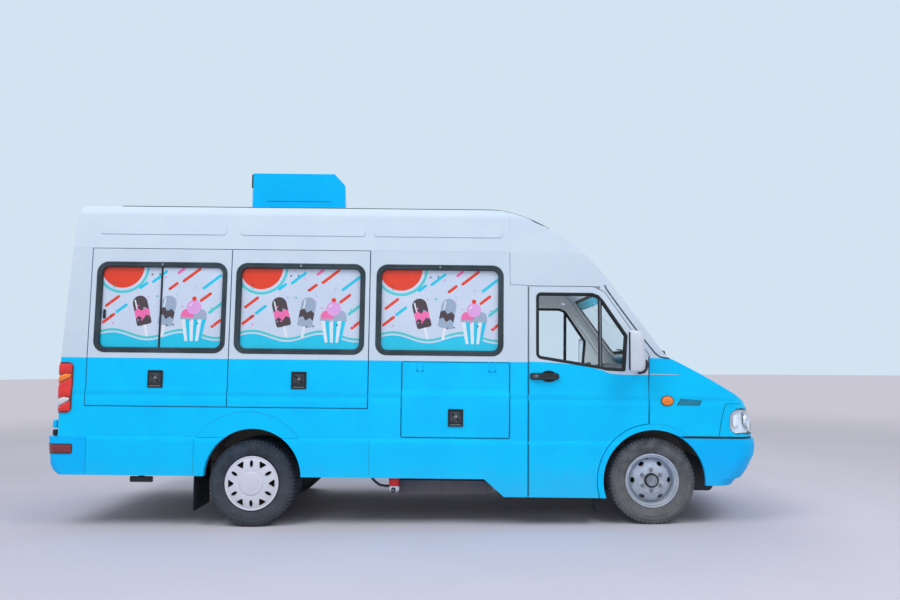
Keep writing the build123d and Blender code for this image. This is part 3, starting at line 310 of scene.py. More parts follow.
def makeEdgeWear():
    # where a soft edge is, from a rounded normal, and that normal for the shine along it
    group, given, out = newGroup("edgeWear", {"Radius": 0.004, "Scale": 40.0}, ("Mask", "Normal"))
    soft = addNode(group, "Bevel", {"Radius": given["Radius"]}, samples=4).outputs[0]
    plain = addNode(group, "NewGeometry").outputs["Normal"]
    bend = addNode(group, "VectorMath", {0: soft, 1: plain}, operation="DOT_PRODUCT").outputs["Value"]
    patches = addNode(group, "TexNoise", {"Vector": objectPoint(group), "Scale": given["Scale"],
        "Detail": 4.0}).outputs["Fac"]
    edge = remap(group, bend, 0.995, 0.9)
    worn = mathNode(group, "MULTIPLY", edge, remap(group, patches, 0.45, 0.62), True)
    group.links.new(worn, out["Mask"])
    group.links.new(soft, out["Normal"])
    return group


pressing = {"groove": 1.048, "reach": 0.04, "depth": 0.005,
    "steps": [(0.708, 0.676, 0.0055), (1.072, 1.12, 0.008)]}


def makePaintBands():
    # white above the belt and blue below, with the dip under the cab window, and the lining inside
    group, given, out = newGroup("paintBands", {"Belt": beltHeight, "Dip": 0.0},
        ("Upper", "Inside", "Pressing"))
    coords = addNode(group, "TexCoord")
    point, normal = coords.outputs["Object"], coords.outputs["Normal"]
    height = addNode(group, "VectorMath", {0: point, 1: upInBody}, operation="DOT_PRODUCT").outputs["Value"]
    along = addNode(group, "VectorMath", {0: point, 1: alongInBody},
        operation="DOT_PRODUCT").outputs["Value"]
    curve = addNode(group, "FloatCurve")
    group.links.new(remap(group, along, 0.95, 2.0), curve.inputs["Value"])
    line = curve.mapping.curves[0]
    line.points[1].location = (1.0, 0.98)
    for x, drop in ((0.13, 0.02), (0.36, 0.2), (0.58, 0.6), (0.68, 0.93), (0.8, 1.0)):
        line.points.new(x, drop)
    curve.mapping.update()
    belt = mathNode(group, "SUBTRACT", given["Belt"],
        mathNode(group, "MULTIPLY", curve.outputs[0], given["Dip"]))
    above = mathNode(group, "SUBTRACT", height, belt)
    group.links.new(remap(group, above, -0.0012, 0.0012), out["Upper"])
    y = addNode(group, "SeparateXYZ", {0: point}).outputs[1]
    facing = addNode(group, "SeparateXYZ", {0: normal}).outputs[1]
    group.links.new(mathNode(group, "LESS_THAN", mathNode(group, "MULTIPLY", y, facing), -0.3),
        out["Inside"])
    # the soft groove below the step along the side, and the swell below the sill crease, in metres
    away = mathNode(group, "ABSOLUTE", mathNode(group, "SUBTRACT", height, pressing["groove"]))
    groove = mathNode(group, "SUBTRACT", 1.0, mathNode(group, "DIVIDE", away, pressing["reach"]), True)
    shape = mathNode(group, "MULTIPLY", groove, -pressing["depth"])
    for low, high, rise in pressing["steps"]:
        step = mathNode(group, "MULTIPLY", remap(group, height, low, high), rise)
        shape = mathNode(group, "ADD", shape, step)
    flank = remap(group, mathNode(group, "ABSOLUTE", facing), 0.75, 0.95)
    group.links.new(mathNode(group, "MULTIPLY", shape, flank), out["Pressing"])
    return group


def makeWeave():
    # crossed threads
    group, given, out = newGroup("clothWeave", {"Threads": 500.0}, ("Height", "Thread"))
    point = addNode(group, "SeparateXYZ", {0: objectPoint(group)})
    waves = []
    for axis in range(3):
        waves.append(mathNode(group, "SINE",
            mathNode(group, "MULTIPLY", point.outputs[axis], given["Threads"])))
    flat = mathNode(group, "MULTIPLY", waves[0], waves[1])
    cross = mathNode(group, "ADD", flat, mathNode(group, "MULTIPLY", waves[2], 0.5))
    group.links.new(remap(group, cross, -1.5, 1.5), out["Height"])
    group.links.new(remap(group, cross, -0.3, 0.3), out["Thread"])
    return group


def makeLensRibs():
    # upright ribs moulded in a lamp's lens, with a fine cross pattern
    group, given, out = newGroup("lensRibs", {"Along": 600.0, "Up": 300.0}, ("Height",))
    point = addNode(group, "SeparateXYZ", {0: objectPoint(group)})
    sweep = mathNode(group, "ADD", point.outputs[0], point.outputs[1])
    ribs = mathNode(group, "ABSOLUTE", mathNode(group, "SINE",
        mathNode(group, "MULTIPLY", sweep, given["Along"])))
    rows = mathNode(group, "ABSOLUTE", mathNode(group, "SINE",
        mathNode(group, "MULTIPLY", point.outputs[2], given["Up"])))
    group.links.new(mathNode(group, "ADD", ribs, mathNode(group, "MULTIPLY", rows, 0.4)), out["Height"])
    return group


groups = {"grain": makeFineGrain(), "dirt": makeRoadDirt(), "wear": makeEdgeWear(),
    "bands": makePaintBands(), "weave": makeWeave(), "ribs": makeLensRibs()}


def useGroup(tree, name, **inputs):
    node = addNode(tree, "Group")
    node.node_tree = groups[name]
    for key, value in inputs.items():
        node.inputs[key.replace("_", " ")].default_value = value
    return node.outputs


finishes = {}


def newFinish(name):
    # an empty finish, kept under its name, with its tree and shader
    material = finishes[name] = bpy.data.materials.new(name)
    material.use_nodes = True
    return material, material.node_tree, material.node_tree.nodes["Principled BSDF"]


def makeFinish(name, colour, second, roughness, grain=(300.0, 0.05, 0.001), metallic=0.0, blotch=3.0,
        spread=0.08, dirt=None, wear=None, bands=None, soft=0.003, plain=None, weave=None, ribs=None):
    # colours are of 0 to 255, and the blotches bring in the second; grain is its scale, strength and depth,
    # dirt its low and high end, amount, colour and scale, and wear its amount and colour
    material, tree, shader = newFinish(name)
    colour = srgb(*colour)
    second = srgb(*second) if second else [c * 0.93 for c in colour[:3]] + [1.0]
    shader.inputs["Metallic"].default_value = metallic
    for key, value in (plain or {}).items():
        shader.inputs[key].default_value = value
    surface = useGroup(tree, "grain", Scale=grain[0], Blotch_Scale=blotch)
    colourNow = mixColour(tree, surface["Blotch"], colour, second)
    roughNow = remap(tree, surface["Blotch"], 0.0, 1.0, roughness, min(1.0, roughness + spread))
    height = surface["Height"]
    if bands:
        split = useGroup(tree, "bands", Belt=bands["belt"], Dip=bands["dip"])
        upper = mixColour(tree, surface["Blotch"], srgb(*bands["upper"]), srgb(*bands["upperSecond"]))
        colourNow = mixColour(tree, split["Upper"], colourNow, upper)
        colourNow = mixColour(tree, split["Inside"], colourNow, srgb(*bands["lining"]))
    if weave:
        threads = useGroup(tree, "weave", Threads=weave)
        height = threads["Height"]
        colourNow = mixColour(tree, mathNode(tree, "MULTIPLY", threads["Thread"], 0.35), colourNow,
            [c * 0.6 for c in colour[:3]] + [1.0])
    if ribs:
        height = useGroup(tree, "ribs", Along=ribs[0], Up=ribs[1])["Height"]
    if dirt:
        low, high, amount, tone, scale = dirt
        mask = useGroup(tree, "dirt", Low=low, High=high, Scale=scale, Amount=amount)["Mask"]
        colourNow = mixColour(tree, mask, colourNow, srgb(*tone))
        roughNow = mathNode(tree, "ADD", roughNow, mathNode(tree, "MULTIPLY", mask, 0.4), True)
    edge = useGroup(tree, "wear", Radius=soft, Scale=40.0)
    if wear:
        colourNow = mixColour(tree, mathNode(tree, "MULTIPLY", edge["Mask"], wear[0]), colourNow,
            srgb(*wear[1]))
    normal = edge["Normal"]
    if bands:
        normal = addNode(tree, "Bump", {"Height": split["Pressing"], "Strength": 1.0, "Distance": 1.0,
            "Normal": normal}).outputs[0]
    bump = addNode(tree, "Bump", {"Height": height, "Strength": grain[1], "Distance": grain[2],
        "Normal": normal})
    tree.links.new(colourNow, shader.inputs["Base Color"])
    tree.links.new(roughNow, shader.inputs["Roughness"])
    tree.links.new(bump.outputs[0], shader.inputs["Normal"])
    return material


def makeGlass(name, colour, roughness=0.015, wavy=0.02):
    # clear glass that lets the light of the lamps through
    material, tree, shader = newFinish(name)
    tint = srgb(*colour)
    shader.inputs["Base Color"].default_value = tint
    shader.inputs["Transmission Weight"].default_value = 1.0
    shader.inputs["IOR"].default_value = 1.05
    surface = useGroup(tree, "grain", Scale=3.0, Blotch_Scale=2.0)
    tree.links.new(remap(tree, surface["Blotch"], 0.0, 1.0, roughness, roughness + 0.02),
        shader.inputs["Roughness"])
    bump = addNode(tree, "Bump", {"Height": surface["Height"], "Strength": wavy, "Distance": 0.01})
    tree.links.new(bump.outputs[0], shader.inputs["Normal"])
    clear = addNode(tree, "BsdfTransparent", {"Color": tint})
    path = addNode(tree, "LightPath")
    mix = addNode(tree, "MixShader", {0: path.outputs["Is Shadow Ray"], 1: shader.outputs[0],
        2: clear.outputs[0]})
    tree.links.new(mix.outputs[0], tree.nodes["Material Output"].inputs["Surface"])


blue, deepBlue, white, coolWhite = (0, 199, 253), (0, 192, 252), (199, 214, 229), (195, 211, 227)
dust, mud, rust = (150, 140, 128), (112, 100, 86), (104, 62, 40)
roadFilm = (0.15, 0.6, 0.07, dust, 6.0)
underDirt = (0.3, 1.1, 0.6, mud, 9.0)
clearCoat = {"Coat Weight": 0.13, "Coat Roughness": 0.05, "Specular IOR Level": 0.1}
enamel = {"grain": (900.0, 0.06, 0.0006), "plain": clearCoat}
bands = {"belt": beltHeight, "dip": 0.0, "upper": white, "upperSecond": coolWhite,
    "lining": (206, 210, 214)}
makeFinish("bodyPaint", blue, deepBlue, 0.26, bands=bands, dirt=roadFilm, **enamel)
makeFinish("doorPaint", blue, deepBlue, 0.26, bands=dict(bands, belt=1.36, dip=0.1), dirt=roadFilm,
    **enamel)
makeFinish("pillarPaint", blue, deepBlue, 0.26, bands=dict(bands, belt=1.4), **enamel)
makeFinish("bluePaint", blue, deepBlue, 0.26, dirt=roadFilm, **enamel)
makeFinish("boxPaint", (0, 176, 236), (0, 170, 230), 0.32, **enamel)
makeFinish("bumperPaint", (0, 187, 253), (0, 180, 252), 0.34, (900.0, 0.08, 0.0006), dirt=roadFilm,
    plain=clearCoat)
makeFinish("whitePaint", white, coolWhite, 0.3, bands=dict(bands, belt=0.0), **enamel)
makeFinish("navyPaint", (4, 22, 58), (6, 28, 66), 0.5, (300.0, 0.3, 0.001),
    dirt=(0.15, 0.6, 0.35, dust, 6.0), wear=(0.7, rust))

rubberGrain = (700.0, 0.25, 0.0006)
makeFinish("windowRubber", (52, 66, 74), (38, 50, 57), 0.46, rubberGrain, wear=(0.35, (98, 112, 118)))
makeFinish("blackRubber", (26, 30, 33), (36, 40, 43), 0.55, rubberGrain)
makeFinish("edgeRubber", (44, 62, 76), (34, 50, 62), 0.55, rubberGrain)
# Painted shade for the dark lines in the panel gaps and along the beads: the first darker, the second
# softer
makeFinish("seamShade", (10, 46, 84), (6, 34, 66), 0.7, (600.0, 0.2, 0.0005))
makeFinish("seamSoft", (46, 104, 142), (40, 94, 130), 0.6, (600.0, 0.2, 0.0005))
makeFinish("blackPlastic", (24, 28, 32), (34, 38, 42), 0.42, (1400.0, 0.5, 0.0005),
    wear=(0.3, (80, 84, 88)))
makeFinish("whitePlastic", (205, 214, 226), (196, 206, 219), 0.33, (900.0, 0.12, 0.0005), dirt=roadFilm)
makeFinish("coverPlastic", (216, 220, 233), (207, 211, 225), 0.36, (900.0, 0.2, 0.0006),
    wear=(0.3, (150, 148, 146)), dirt=(0.0, 0.7, 0.15, dust, 14.0))
makeFinish("greyPlastic", (112, 118, 124), (100, 106, 112), 0.55, (1100.0, 0.5, 0.0008))
makeFinish("redPlastic", (205, 22, 22), (178, 16, 18), 0.35, (900.0, 0.2, 0.0005))
makeFinish("darkTrim", (62, 68, 76), (52, 58, 66), 0.6, (1100.0, 0.6, 0.0008))
makeFinish("floorMat", (70, 74, 78), (86, 88, 90), 0.8, (260.0, 0.8, 0.0015),
    dirt=(0.55, 1.2, 0.4, dust, 6.0))
makeFinish("seatCloth", (112, 116, 122), (96, 100, 106), 0.9, (900.0, 0.6, 0.0008), weave=1600.0,
    soft=0.001, plain={"Sheen Weight": 0.35, "Sheen Roughness": 0.5})

makeFinish("chassisPaint", (30, 32, 34), (44, 42, 40), 0.6, (400.0, 0.5, 0.001), dirt=underDirt,
    wear=(0.7, rust))
makeFinish("castIron", (62, 60, 58), (84, 66, 54), 0.65, (260.0, 0.9, 0.0015), 0.6, dirt=underDirt,
    wear=(0.6, rust))
makeFinish("exhaustSteel", (120, 112, 104), (104, 70, 48), 0.5, (300.0, 0.4, 0.001), 0.8, 7.0,
    dirt=underDirt)
makeFinish("wheelSteel", (204, 216, 232), (190, 202, 220), 0.38, (500.0, 0.3, 0.0008), 0.2, 9.0,
    dirt=(0.0, 0.72, 0.4, (120, 116, 112), 16.0), wear=(0.6, (92, 84, 78)))
makeFinish("darkWheel", (70, 74, 80), (52, 54, 58), 0.5, metallic=0.3, dirt=(0.0, 0.9, 0.6, mud, 6.0))
makeFinish("zinc", (170, 176, 182), (146, 150, 156), 0.32, (900.0, 0.2, 0.0004), 0.9, 30.0,
    wear=(0.5, (110, 90, 76)))
makeFinish("tyreDusty", (66, 70, 76), (100, 104, 110), 0.86, (420.0, 0.7, 0.001), blotch=13.0,
    dirt=(0.0, 0.9, 0.6, (112, 112, 114), 18.0))
makeFinish("tyreDark", (34, 44, 54), (54, 64, 76), 0.72, (420.0, 0.7, 0.001), blotch=13.0,
    dirt=(0.0, 0.75, 0.3, (96, 98, 102), 18.0))

lensCoat = {"Coat Weight": 0.8, "Coat Roughness": 0.04}
makeFinish("amberLens", (255, 134, 0), (248, 120, 0), 0.16, (100.0, 0.55, 0.0012), ribs=(520.0, 420.0),
    plain=lensCoat)
makeFinish("redLens", (236, 30, 8), (222, 20, 4), 0.16, (100.0, 0.5, 0.0012), ribs=(520.0, 420.0),
    plain=lensCoat)
makeFinish("darkRedLens", (128, 14, 18), (104, 8, 12), 0.2, (100.0, 0.5, 0.001), ribs=(700.0, 700.0),
    plain=lensCoat)
makeFinish("clearLens", (222, 226, 232), (206, 212, 220), 0.14, (100.0, 0.7, 0.0015), ribs=(420.0, 260.0),
    plain=lensCoat)
makeFinish("paleAmber", (222, 168, 92), (206, 150, 80), 0.25, (100.0, 0.4, 0.001), ribs=(520.0, 420.0),
    plain={"Coat Weight": 0.6})
makeFinish("reflector", (232, 237, 244), (216, 222, 232), 0.22, (200.0, 0.1, 0.0008), 0.5)
makeFinish("mirrorGlass", (236, 240, 244), (228, 232, 238), 0.03, (60.0, 0.02, 0.0004), 1.0)
makeFinish("sunStrip", (60, 196, 226), (52, 190, 222), 0.2, (900.0, 0.05, 0.0004))
makeGlass("clearGlass", (244, 249, 251))
makeGlass("tintedGlass", (96, 108, 114))
makeGlass("lampGlass", (246, 249, 252), 0.03, 0.25)

film = {"grain": (1800.0, 0.15, 0.0004), "soft": 0.0004, "plain": {"Coat Weight": 0.3}}
makeFinish("filmWhite", (199, 212, 233), (193, 207, 229), 0.22, **film)
filmTones = {"filmRed": (226, 56, 20), "filmCyan": (0, 196, 232), "filmTeal": (70, 200, 208),
    "filmPink": (238, 106, 172), "filmBrown": (70, 56, 64), "filmGrey": (152, 172, 196),
    "filmPale": (222, 230, 240), "filmLilac": (222, 160, 224)}
for tone, colour in filmTones.items():
    makeFinish(tone, colour, None, 0.24, **film)
print("materials made:", len(finishes))

# The frame's own pieces by their finish
nodeFinish = {
    "bodyPaint": "side_right side_left hatch_rear hatch_front rear_door_right rear_door_left",
    "doorPaint": "cab_door_right cab_door_left",
    "bluePaint": "locker_door grille roof_box bonnet",
    "whitePaint": "load_roof cab_roof",
    "pillarPaint": "screen_frame front_wings",
    "bumperPaint": "front_bumper rear_bumper",
    "navyPaint": "under_locker",
    "whitePlastic": "mirror_right mirror_left",
    "blackPlastic": "fuel_tank seat_frames wipers steering_wheel",
    "redPlastic": "power_inlet",
    "coverPlastic": "wheel_cover_right wheel_cover_left",
    "darkTrim": "dashboard",
    "floorMat": "floor",
    "seatCloth": "seat_cushions",
    "windowRubber": "side_windows hatch_window_rear hatch_window_front",
    "blackRubber": "mudflaps",
    "tyreDusty": "tyre_front_right tyre_front_left",
    "tyreDark": "tyres_rear_right tyres_rear_left",
    "wheelSteel": "wheel_front_right wheel_front_left",
    "darkWheel": "wheels_rear_right wheels_rear_left",
    "chassisPaint": "chassis_frame front_suspension",
    "castIron": "rear_axle engine knuckle_right knuckle_left",
    "exhaustSteel": "exhaust",
    "clearGlass": "windscreen cab_window_right cab_window_left",
    "tintedGlass": "rear_window_right rear_window_left",
    "clearLens": "headlamps",
    "redLens": "tail_lamps",
    "amberLens": "amber_lamps",
}
for finish, names in nodeFinish.items():
    for node in names.split():
        nodes[node].data.materials.clear()
        nodes[node].data.materials.append(finishes[finish])
print("frame pieces finished")

# Camera, light and floor

camera = {"lens": 29.88, "place": (0.337, -7.195, 1.365), "tip": 94.0, "roll": -0.28, "shift": 0.0081}


def makeCamera():
    view = bpy.data.cameras.new("camera")
    view.sensor_width, view.lens = 36.0, camera["lens"]
    view.shift_y = camera["shift"]
    holder = bpy.data.objects.new("camera", view)
    holder.matrix_world = (Matrix.Translation(camera["place"])
        @ Matrix.Rotation(math.radians(camera["tip"]), 4, "X")
        @ Matrix.Rotation(math.radians(camera["roll"]), 4, "Z"))
    scene.collection.objects.link(holder)
    scene.camera = holder


studio = {"world": 0.54, "fade": (5.0, 16.0), "floor": (201, 199, 212), "sky": (212, 227, 241),
    "light": (240, 242, 245), "lamps": [((-4.5, -6.0, 9.0), (0.0, 0.0, 1.2), 6.0, 470.0),
    ((5.5, -5.5, 9.0), (0.6, 0.0, 1.2), 6.0, 400.0), ((0.0, 6.0, 8.0), (0.0, 0.0, 1.4), 7.0, 260.0),
    ((0.5, -9.0, 1.6), (0.5, 0.0, 1.2), 5.0, 75.0)], "cab": ((1.3, 0.0, 1.62), 0.25, 9.0)}


def seenRay(tree):
    # 1 for rays that see the backdrop, straight or through glass or a reflection
    path = addNode(tree, "LightPath")
    looked = mathNode(tree, "ADD", path.outputs["Is Camera Ray"], path.outputs["Is Transmission Ray"], True)
    return mathNode(tree, "ADD", looked, path.outputs["Is Glossy Ray"], True)


def fadeFloor(tree):
    # far from the truck the floor turns into the pale backdrop
    place = addNode(tree, "NewGeometry").outputs["Position"]
    reach = addNode(tree, "VectorMath", {0: place}, operation="LENGTH")
    far = remap(tree, reach.outputs["Value"], *studio["fade"], smooth=True)
    glow = addNode(tree, "Emission", {0: srgb(*studio["floor"]), 1: 1.0})
    output = next(n for n in tree.nodes if n.type == "OUTPUT_MATERIAL")
    before = output.inputs[0].links[0].from_socket
    mix = addNode(tree, "MixShader", {0: mathNode(tree, "MULTIPLY", far, seenRay(tree)), 1: before,
        2: glow.outputs[0]})
    tree.links.new(mix.outputs[0], output.inputs[0])


def makeStudio():
    world = bpy.data.worlds.new("studioLight")
    world.use_nodes = True
    scene.world = world
    tree = world.node_tree
    lit = tree.nodes["Background"]
    lit.inputs[0].default_value = srgb(*studio["light"])
    lit.inputs[1].default_value = studio["world"]
    seen = addNode(tree, "Background", {0: srgb(*studio["sky"]), 1: 1.0})
    mix = addNode(tree, "MixShader", {0: seenRay(tree), 1: lit.outputs[0], 2: seen.outputs[0]})
    tree.links.new(mix.outputs[0], tree.nodes["World Output"].inputs[0])
    for i, (place, aim, size, power) in enumerate(studio["lamps"]):
        lamp = bpy.data.lights.new("lamp%d" % i, "AREA")
        lamp.shape, lamp.size, lamp.energy = "DISK", size, power
        holder = bpy.data.objects.new("lamp%d" % i, lamp)
        way = (Vector(place) - Vector(aim)).to_track_quat("Z", "Y")
        holder.matrix_world = Matrix.Translation(place) @ way.to_matrix().to_4x4()
        holder.visible_glossy = False
        scene.collection.objects.link(holder)
    place, size, power = studio["cab"]
    lamp = bpy.data.lights.new("cabLamp", "POINT")
    lamp.shadow_soft_size, lamp.energy = size, power
    holder = bpy.data.objects.new("cabLamp", lamp)
    holder.location = place
    holder.visible_camera = holder.visible_glossy = holder.visible_transmission = False
    scene.collection.objects.link(holder)
    ground = Shape()
    ground.add([(60 * math.cos(a), 60 * math.sin(a), 0.0) for a in turns(96)], [list(range(96))])
    mesh = bpy.data.meshes.new("ground")
    mesh.from_pydata(ground.points, [], ground.faces)
    floor = bpy.data.objects.new("ground", mesh)
    mesh.materials.append(makeFinish("groundFloor", studio["floor"], (198, 196, 209), 0.8,
        (60.0, 0.1, 0.002), blotch=0.6))
    scene.collection.objects.link(floor)
    fadeFloor(mesh.materials[0].node_tree)


makeCamera()
makeStudio()
print("camera and studio set")

# Side windows: a rubber ring, a pane with a printed film, and the sliding division of the rearmost one

sideWindow = {"low": 1.4, "high": 2.162, "corner": 0.095, "ring": 0.045,
    "spans": {"hatchRear": (-2.655, -1.56), "hatchFront": (-1.487, -0.402), "fixed": (-0.31, 0.757)},
    "ringProfile": [(0.0, -0.034), (0.0, 0.0012), (0.003, 0.004), (0.009, 0.0054), (0.0145, 0.0046),
    (0.0165, 0.0022), (0.0225, 0.0022), (0.0245, 0.0046), (0.031, 0.0052), (0.038, 0.003),
    (0.043, -0.004), (0.045, -0.012), (0.045, -0.034)], "division": -2.11,
    "handle": (-2.595, -2.575, 1.683, 1.758)}


def capsule(u, v, length, width, tilt):
    # a bar with round ends
    r = width / 2
    points = []
    for end in (1, -1):
        for k in range(9):
            a = math.pi * (k / 8 - 0.5)
            points.append((end * (length / 2 - r) + end * r * math.cos(a), end * r * math.sin(a)))
    turn = Matrix.Rotation(math.radians(-tilt), 2)
    return [(u + p.x, v + p.y) for p in (Vector(q) @ turn for q in points)]


def clipTo(subject, window):
    # keeps the part of an outline that lies in a round-cornered window
    result = subject
    for a, b in zip(window, window[1:] + window[:1]):
        if not result:
            return []
        edge = Vector((b[0] - a[0], b[1] - a[1]))
        kept = []
        for i, here in enumerate(result):
            last = result[i - 1]
            dHere = edge.x * (here[1] - a[1]) - edge.y * (here[0] - a[0])
            dLast = edge.x * (last[1] - a[1]) - edge.y * (last[0] - a[0])
            if (dHere >= 0) != (dLast >= 0):
                t = dLast / (dLast - dHere)
                kept.append((last[0] + (here[0] - last[0]) * t, last[1] + (here[1] - last[1]) * t))
            if dHere >= 0:
                kept.append(here)
        result = kept
    return result


def turnedAbout(points, u, v, tilt):
    a = math.radians(tilt)
    return [(u + p[0] * math.cos(a) - p[1] * math.sin(a), v + p[0] * math.sin(a) + p[1] * math.cos(a))
        for p in points]


def lolly(u, v, tilt, colour, band):
    # a stick, a round-topped bar, a bite of another colour across it and a pale shine
    bar = roundedOutline([(-0.062, -0.1, 0.018), (0.062, -0.1, 0.018), (0.062, 0.15, 0.0615),
        (-0.062, 0.15, 0.0615)], 0.02)
    dip = [(-0.062, 0.03), (-0.03, 0.05), (0.0, 0.02), (0.03, 0.045), (0.062, 0.02), (0.062, -0.04),
        (0.03, -0.02), (0.0, -0.05), (-0.03, -0.015), (-0.062, -0.035)]
    parts = [(roundedRect(-0.012, 0.012, -0.2, -0.08, 0.011), "filmPale"), (bar, colour),
        (turnedLeft(dip), band), (capsule(-0.036, 0.085, 0.08, 0.011, 90), "filmPale")]
    return [(turnedAbout(outline, u, v, tilt), tone) for outline, tone in parts]


def sundae(u, v):
    # a striped cup with three scoops and a round fruit
    parts = []
    for x, z, r, tone in ((-0.052, 0.045, 0.056, "filmPink"), (0.054, 0.045, 0.056, "filmGrey"),
            (0.0, 0.115, 0.06, "filmLilac"), (0.0, 0.186, 0.019, "filmRed")):
        parts.append((oval(u + x, v + z, r, r), tone))
    parts.append((capsule(u - 0.026, v + 0.135, 0.035, 0.01, 50), "filmPale"))
    for i in range(6):
        top, low = -0.105 + 0.035 * i, -0.066 + 0.022 * i
        tone = "filmCyan" if i % 2 else "filmPale"
        parts.append(([(u + low, v - 0.17), (u + low + 0.022, v - 0.17), (u + top + 0.035, v + 0.02),
            (u + top, v + 0.02)], tone))
    parts.append((roundedRect(u - 0.112, u + 0.112, v + 0.012, v + 0.03, 0.008), "filmGrey"))
    return parts


def filmPrint():
    # a made-up summer print, placed from the lower left corner of a window
    parts = []
    wave = [(0.0, 0.0)] + [(x / 40 * 1.2, 0.135 + 0.032 * math.sin(x / 40 * 13.0))
        for x in range(41)] + [(1.2, 0.0)]
    crest = [(x / 40 * 1.2, 0.15 + 0.032 * math.sin(x / 40 * 13.0)) for x in range(41)]
    crest += [(x, z + 0.02) for x, z in crest[::-1]]
    parts += [(turnedLeft(wave), "filmCyan"), (turnedLeft(crest), "filmTeal")]
    parts.append((oval(0.205, 0.722, 0.225, 0.225, 48), "filmTeal"))
    parts.append((oval(0.205, 0.722, 0.203, 0.203, 48), "filmWhite"))
    parts.append((oval(0.205, 0.722, 0.18, 0.18, 48), "filmRed"))
    for u, v, length, tone in ((0.52, 0.64, 0.165, "filmCyan"), (0.64, 0.56, 0.1, "filmRed"),
            (0.79, 0.655, 0.19, "filmRed"), (0.965, 0.6, 0.2, "filmCyan"),
            (0.915, 0.47, 0.12, "filmRed"), (1.0, 0.38, 0.15, "filmTeal"),
            (0.13, 0.43, 0.15, "filmRed"), (0.21, 0.37, 0.12, "filmCyan"),
            (0.105, 0.285, 0.13, "filmRed"), (0.385, 0.565, 0.09, "filmCyan"),
            (0.7, 0.69, 0.075, "filmPink"), (1.01, 0.25, 0.11, "filmRed")):
        parts.append((capsule(u, v, length, 0.024, 38), tone))
    parts += lolly(0.385, 0.33, 14, "filmBrown", "filmPink")
    parts += lolly(0.595, 0.33, -10, "filmGrey", "filmBrown")
    parts += sundae(0.82, 0.27)
    rolls = random.Random(7)
    for k in range(26):
        u, v = rolls.uniform(0.08, 1.02), rolls.uniform(0.2, 0.7)
        r = rolls.uniform(0.005, 0.009)
        parts.append((oval(u, v, r, r, 12),
            rolls.choice(["filmPink", "filmBrown", "filmLilac", "filmTeal"])))
    return parts


printTones = ["filmWhite", *filmTones]
printParts = filmPrint()


def makeSideWindow(label, span, side, body, node):
    x0, x1 = sideWindow["spans"][span]
    low, high, wide = sideWindow["low"], sideWindow["high"], sideWindow["ring"]
    place = onSide(side)
    outline = roundedRect(x0 + fitGap, x1 - fitGap, low + fitGap, high - fitGap, sideWindow["corner"], 10)
    ring = Shape()
    ring.slab(outline, sideWindow["ringProfile"], place, ring=True)
    middle = (x0 + x1) / 2
    clip = roundedRect(middle - 0.007, middle + 0.007, high - 0.03, high - 0.01, 0.002, 2)
    ring.slab(clip, [(0.0, 0.001), (0.0, 0.0052), (0.001, 0.0058)], place, tint=1)
    ring.finish("windowRing" + label, body, "window_rubber", "windowRubber", "zinc", replaces=node)
    # the pane in two leaves where it slides, the forward one nearer the outside
    split = sideWindow["division"] if span == "hatchRear" else None
    seen = insetOutline(outline, wide - 0.004)
    pane = Shape()
    leaves = [(seen, -0.026)]
    if split:
        back = clipTo(seen, [(x0, low), (split + 0.012, low), (split + 0.012, high), (x0, high)])
        front = clipTo(seen, [(split - 0.012, low), (x1, low), (x1, high), (split - 0.012, high)])
        leaves = [(back, -0.026), (front, -0.017)]
    for leaf, out in leaves:
        pane.slab(leaf, [(0.0, out - 0.0055), (0.0, out)], place)
    pane.finish("windowPane" + label, body, "glass", "filmWhite", replaces=node)
    art = Shape()
    for layer, (shape, tone) in enumerate(printParts):
        for leaf, out in leaves:
            if split:
                edge = [(x0, low), (split, low), (split, high), (x0, high)] if leaf is leaves[0][0] else \
                       [(split, low), (x1, low), (x1, high), (split, high)]
                leaf = clipTo(leaf, edge)
            piece = clipTo([(x0 + u, low + v) for u, v in shape], leaf)
            if len(piece) > 2:
                lift = 0.0002 + 0.00004 * layer
                art.slab(piece, [(0.0, out), (0.0, out + lift)], place, tint=printTones.index(tone),
                    caps=(False, True))
    art.finish("windowPrint" + label, body, "glass", *printTones, replaces=node)
    if split:
        bar = Shape()
        profile = roundedRect(split - 0.011, split + 0.005,
            low + wide - 0.002, high - wide + 0.002, 0.002, 2)
        bar.slab(profile, [(0.0, -0.026), (0.0, -0.0135), (0.002, -0.012)], place)
        hx0, hx1, hz0, hz1 = sideWindow["handle"]
        bar.slab(roundedRect(hx0, hx1, hz0, hz1, 0.006), [(0.0, -0.026), (0.0, -0.018), (0.002, -0.015),
            (0.005, -0.0145)], place)
        bar.slab(roundedRect(hx0 + 0.005, hx1 - 0.004, hz0 + 0.012, hz1 - 0.012, 0.003),
            [(0.0, -0.015), (0.0, -0.009), (0.002, -0.008)], place)
        bar.finish("windowSlide" + label, body, "black_plastic", "blackPlastic", replaces=node)


for label, span, side, body, node in (
        ("HatchRear", "hatchRear", -1, "hatch_rear_leaf", "hatch_window_rear"),
        ("HatchFront", "hatchFront", -1, "hatch_front_leaf", "hatch_window_front"),
        ("FixedRight", "fixed", -1, "body", "side_windows"),
        ("RearLeft", "hatchRear", 1, "body", "side_windows"),
        ("MiddleLeft", "hatchFront", 1, "body", "side_windows"),
        ("FixedLeft", "fixed", 1, "body", "side_windows")):
    makeSideWindow(label, span, side, body, node)
print("side windows built")

# Tyres and wheels: drawn about the hub, the outboard side at positive out, then set on their axle

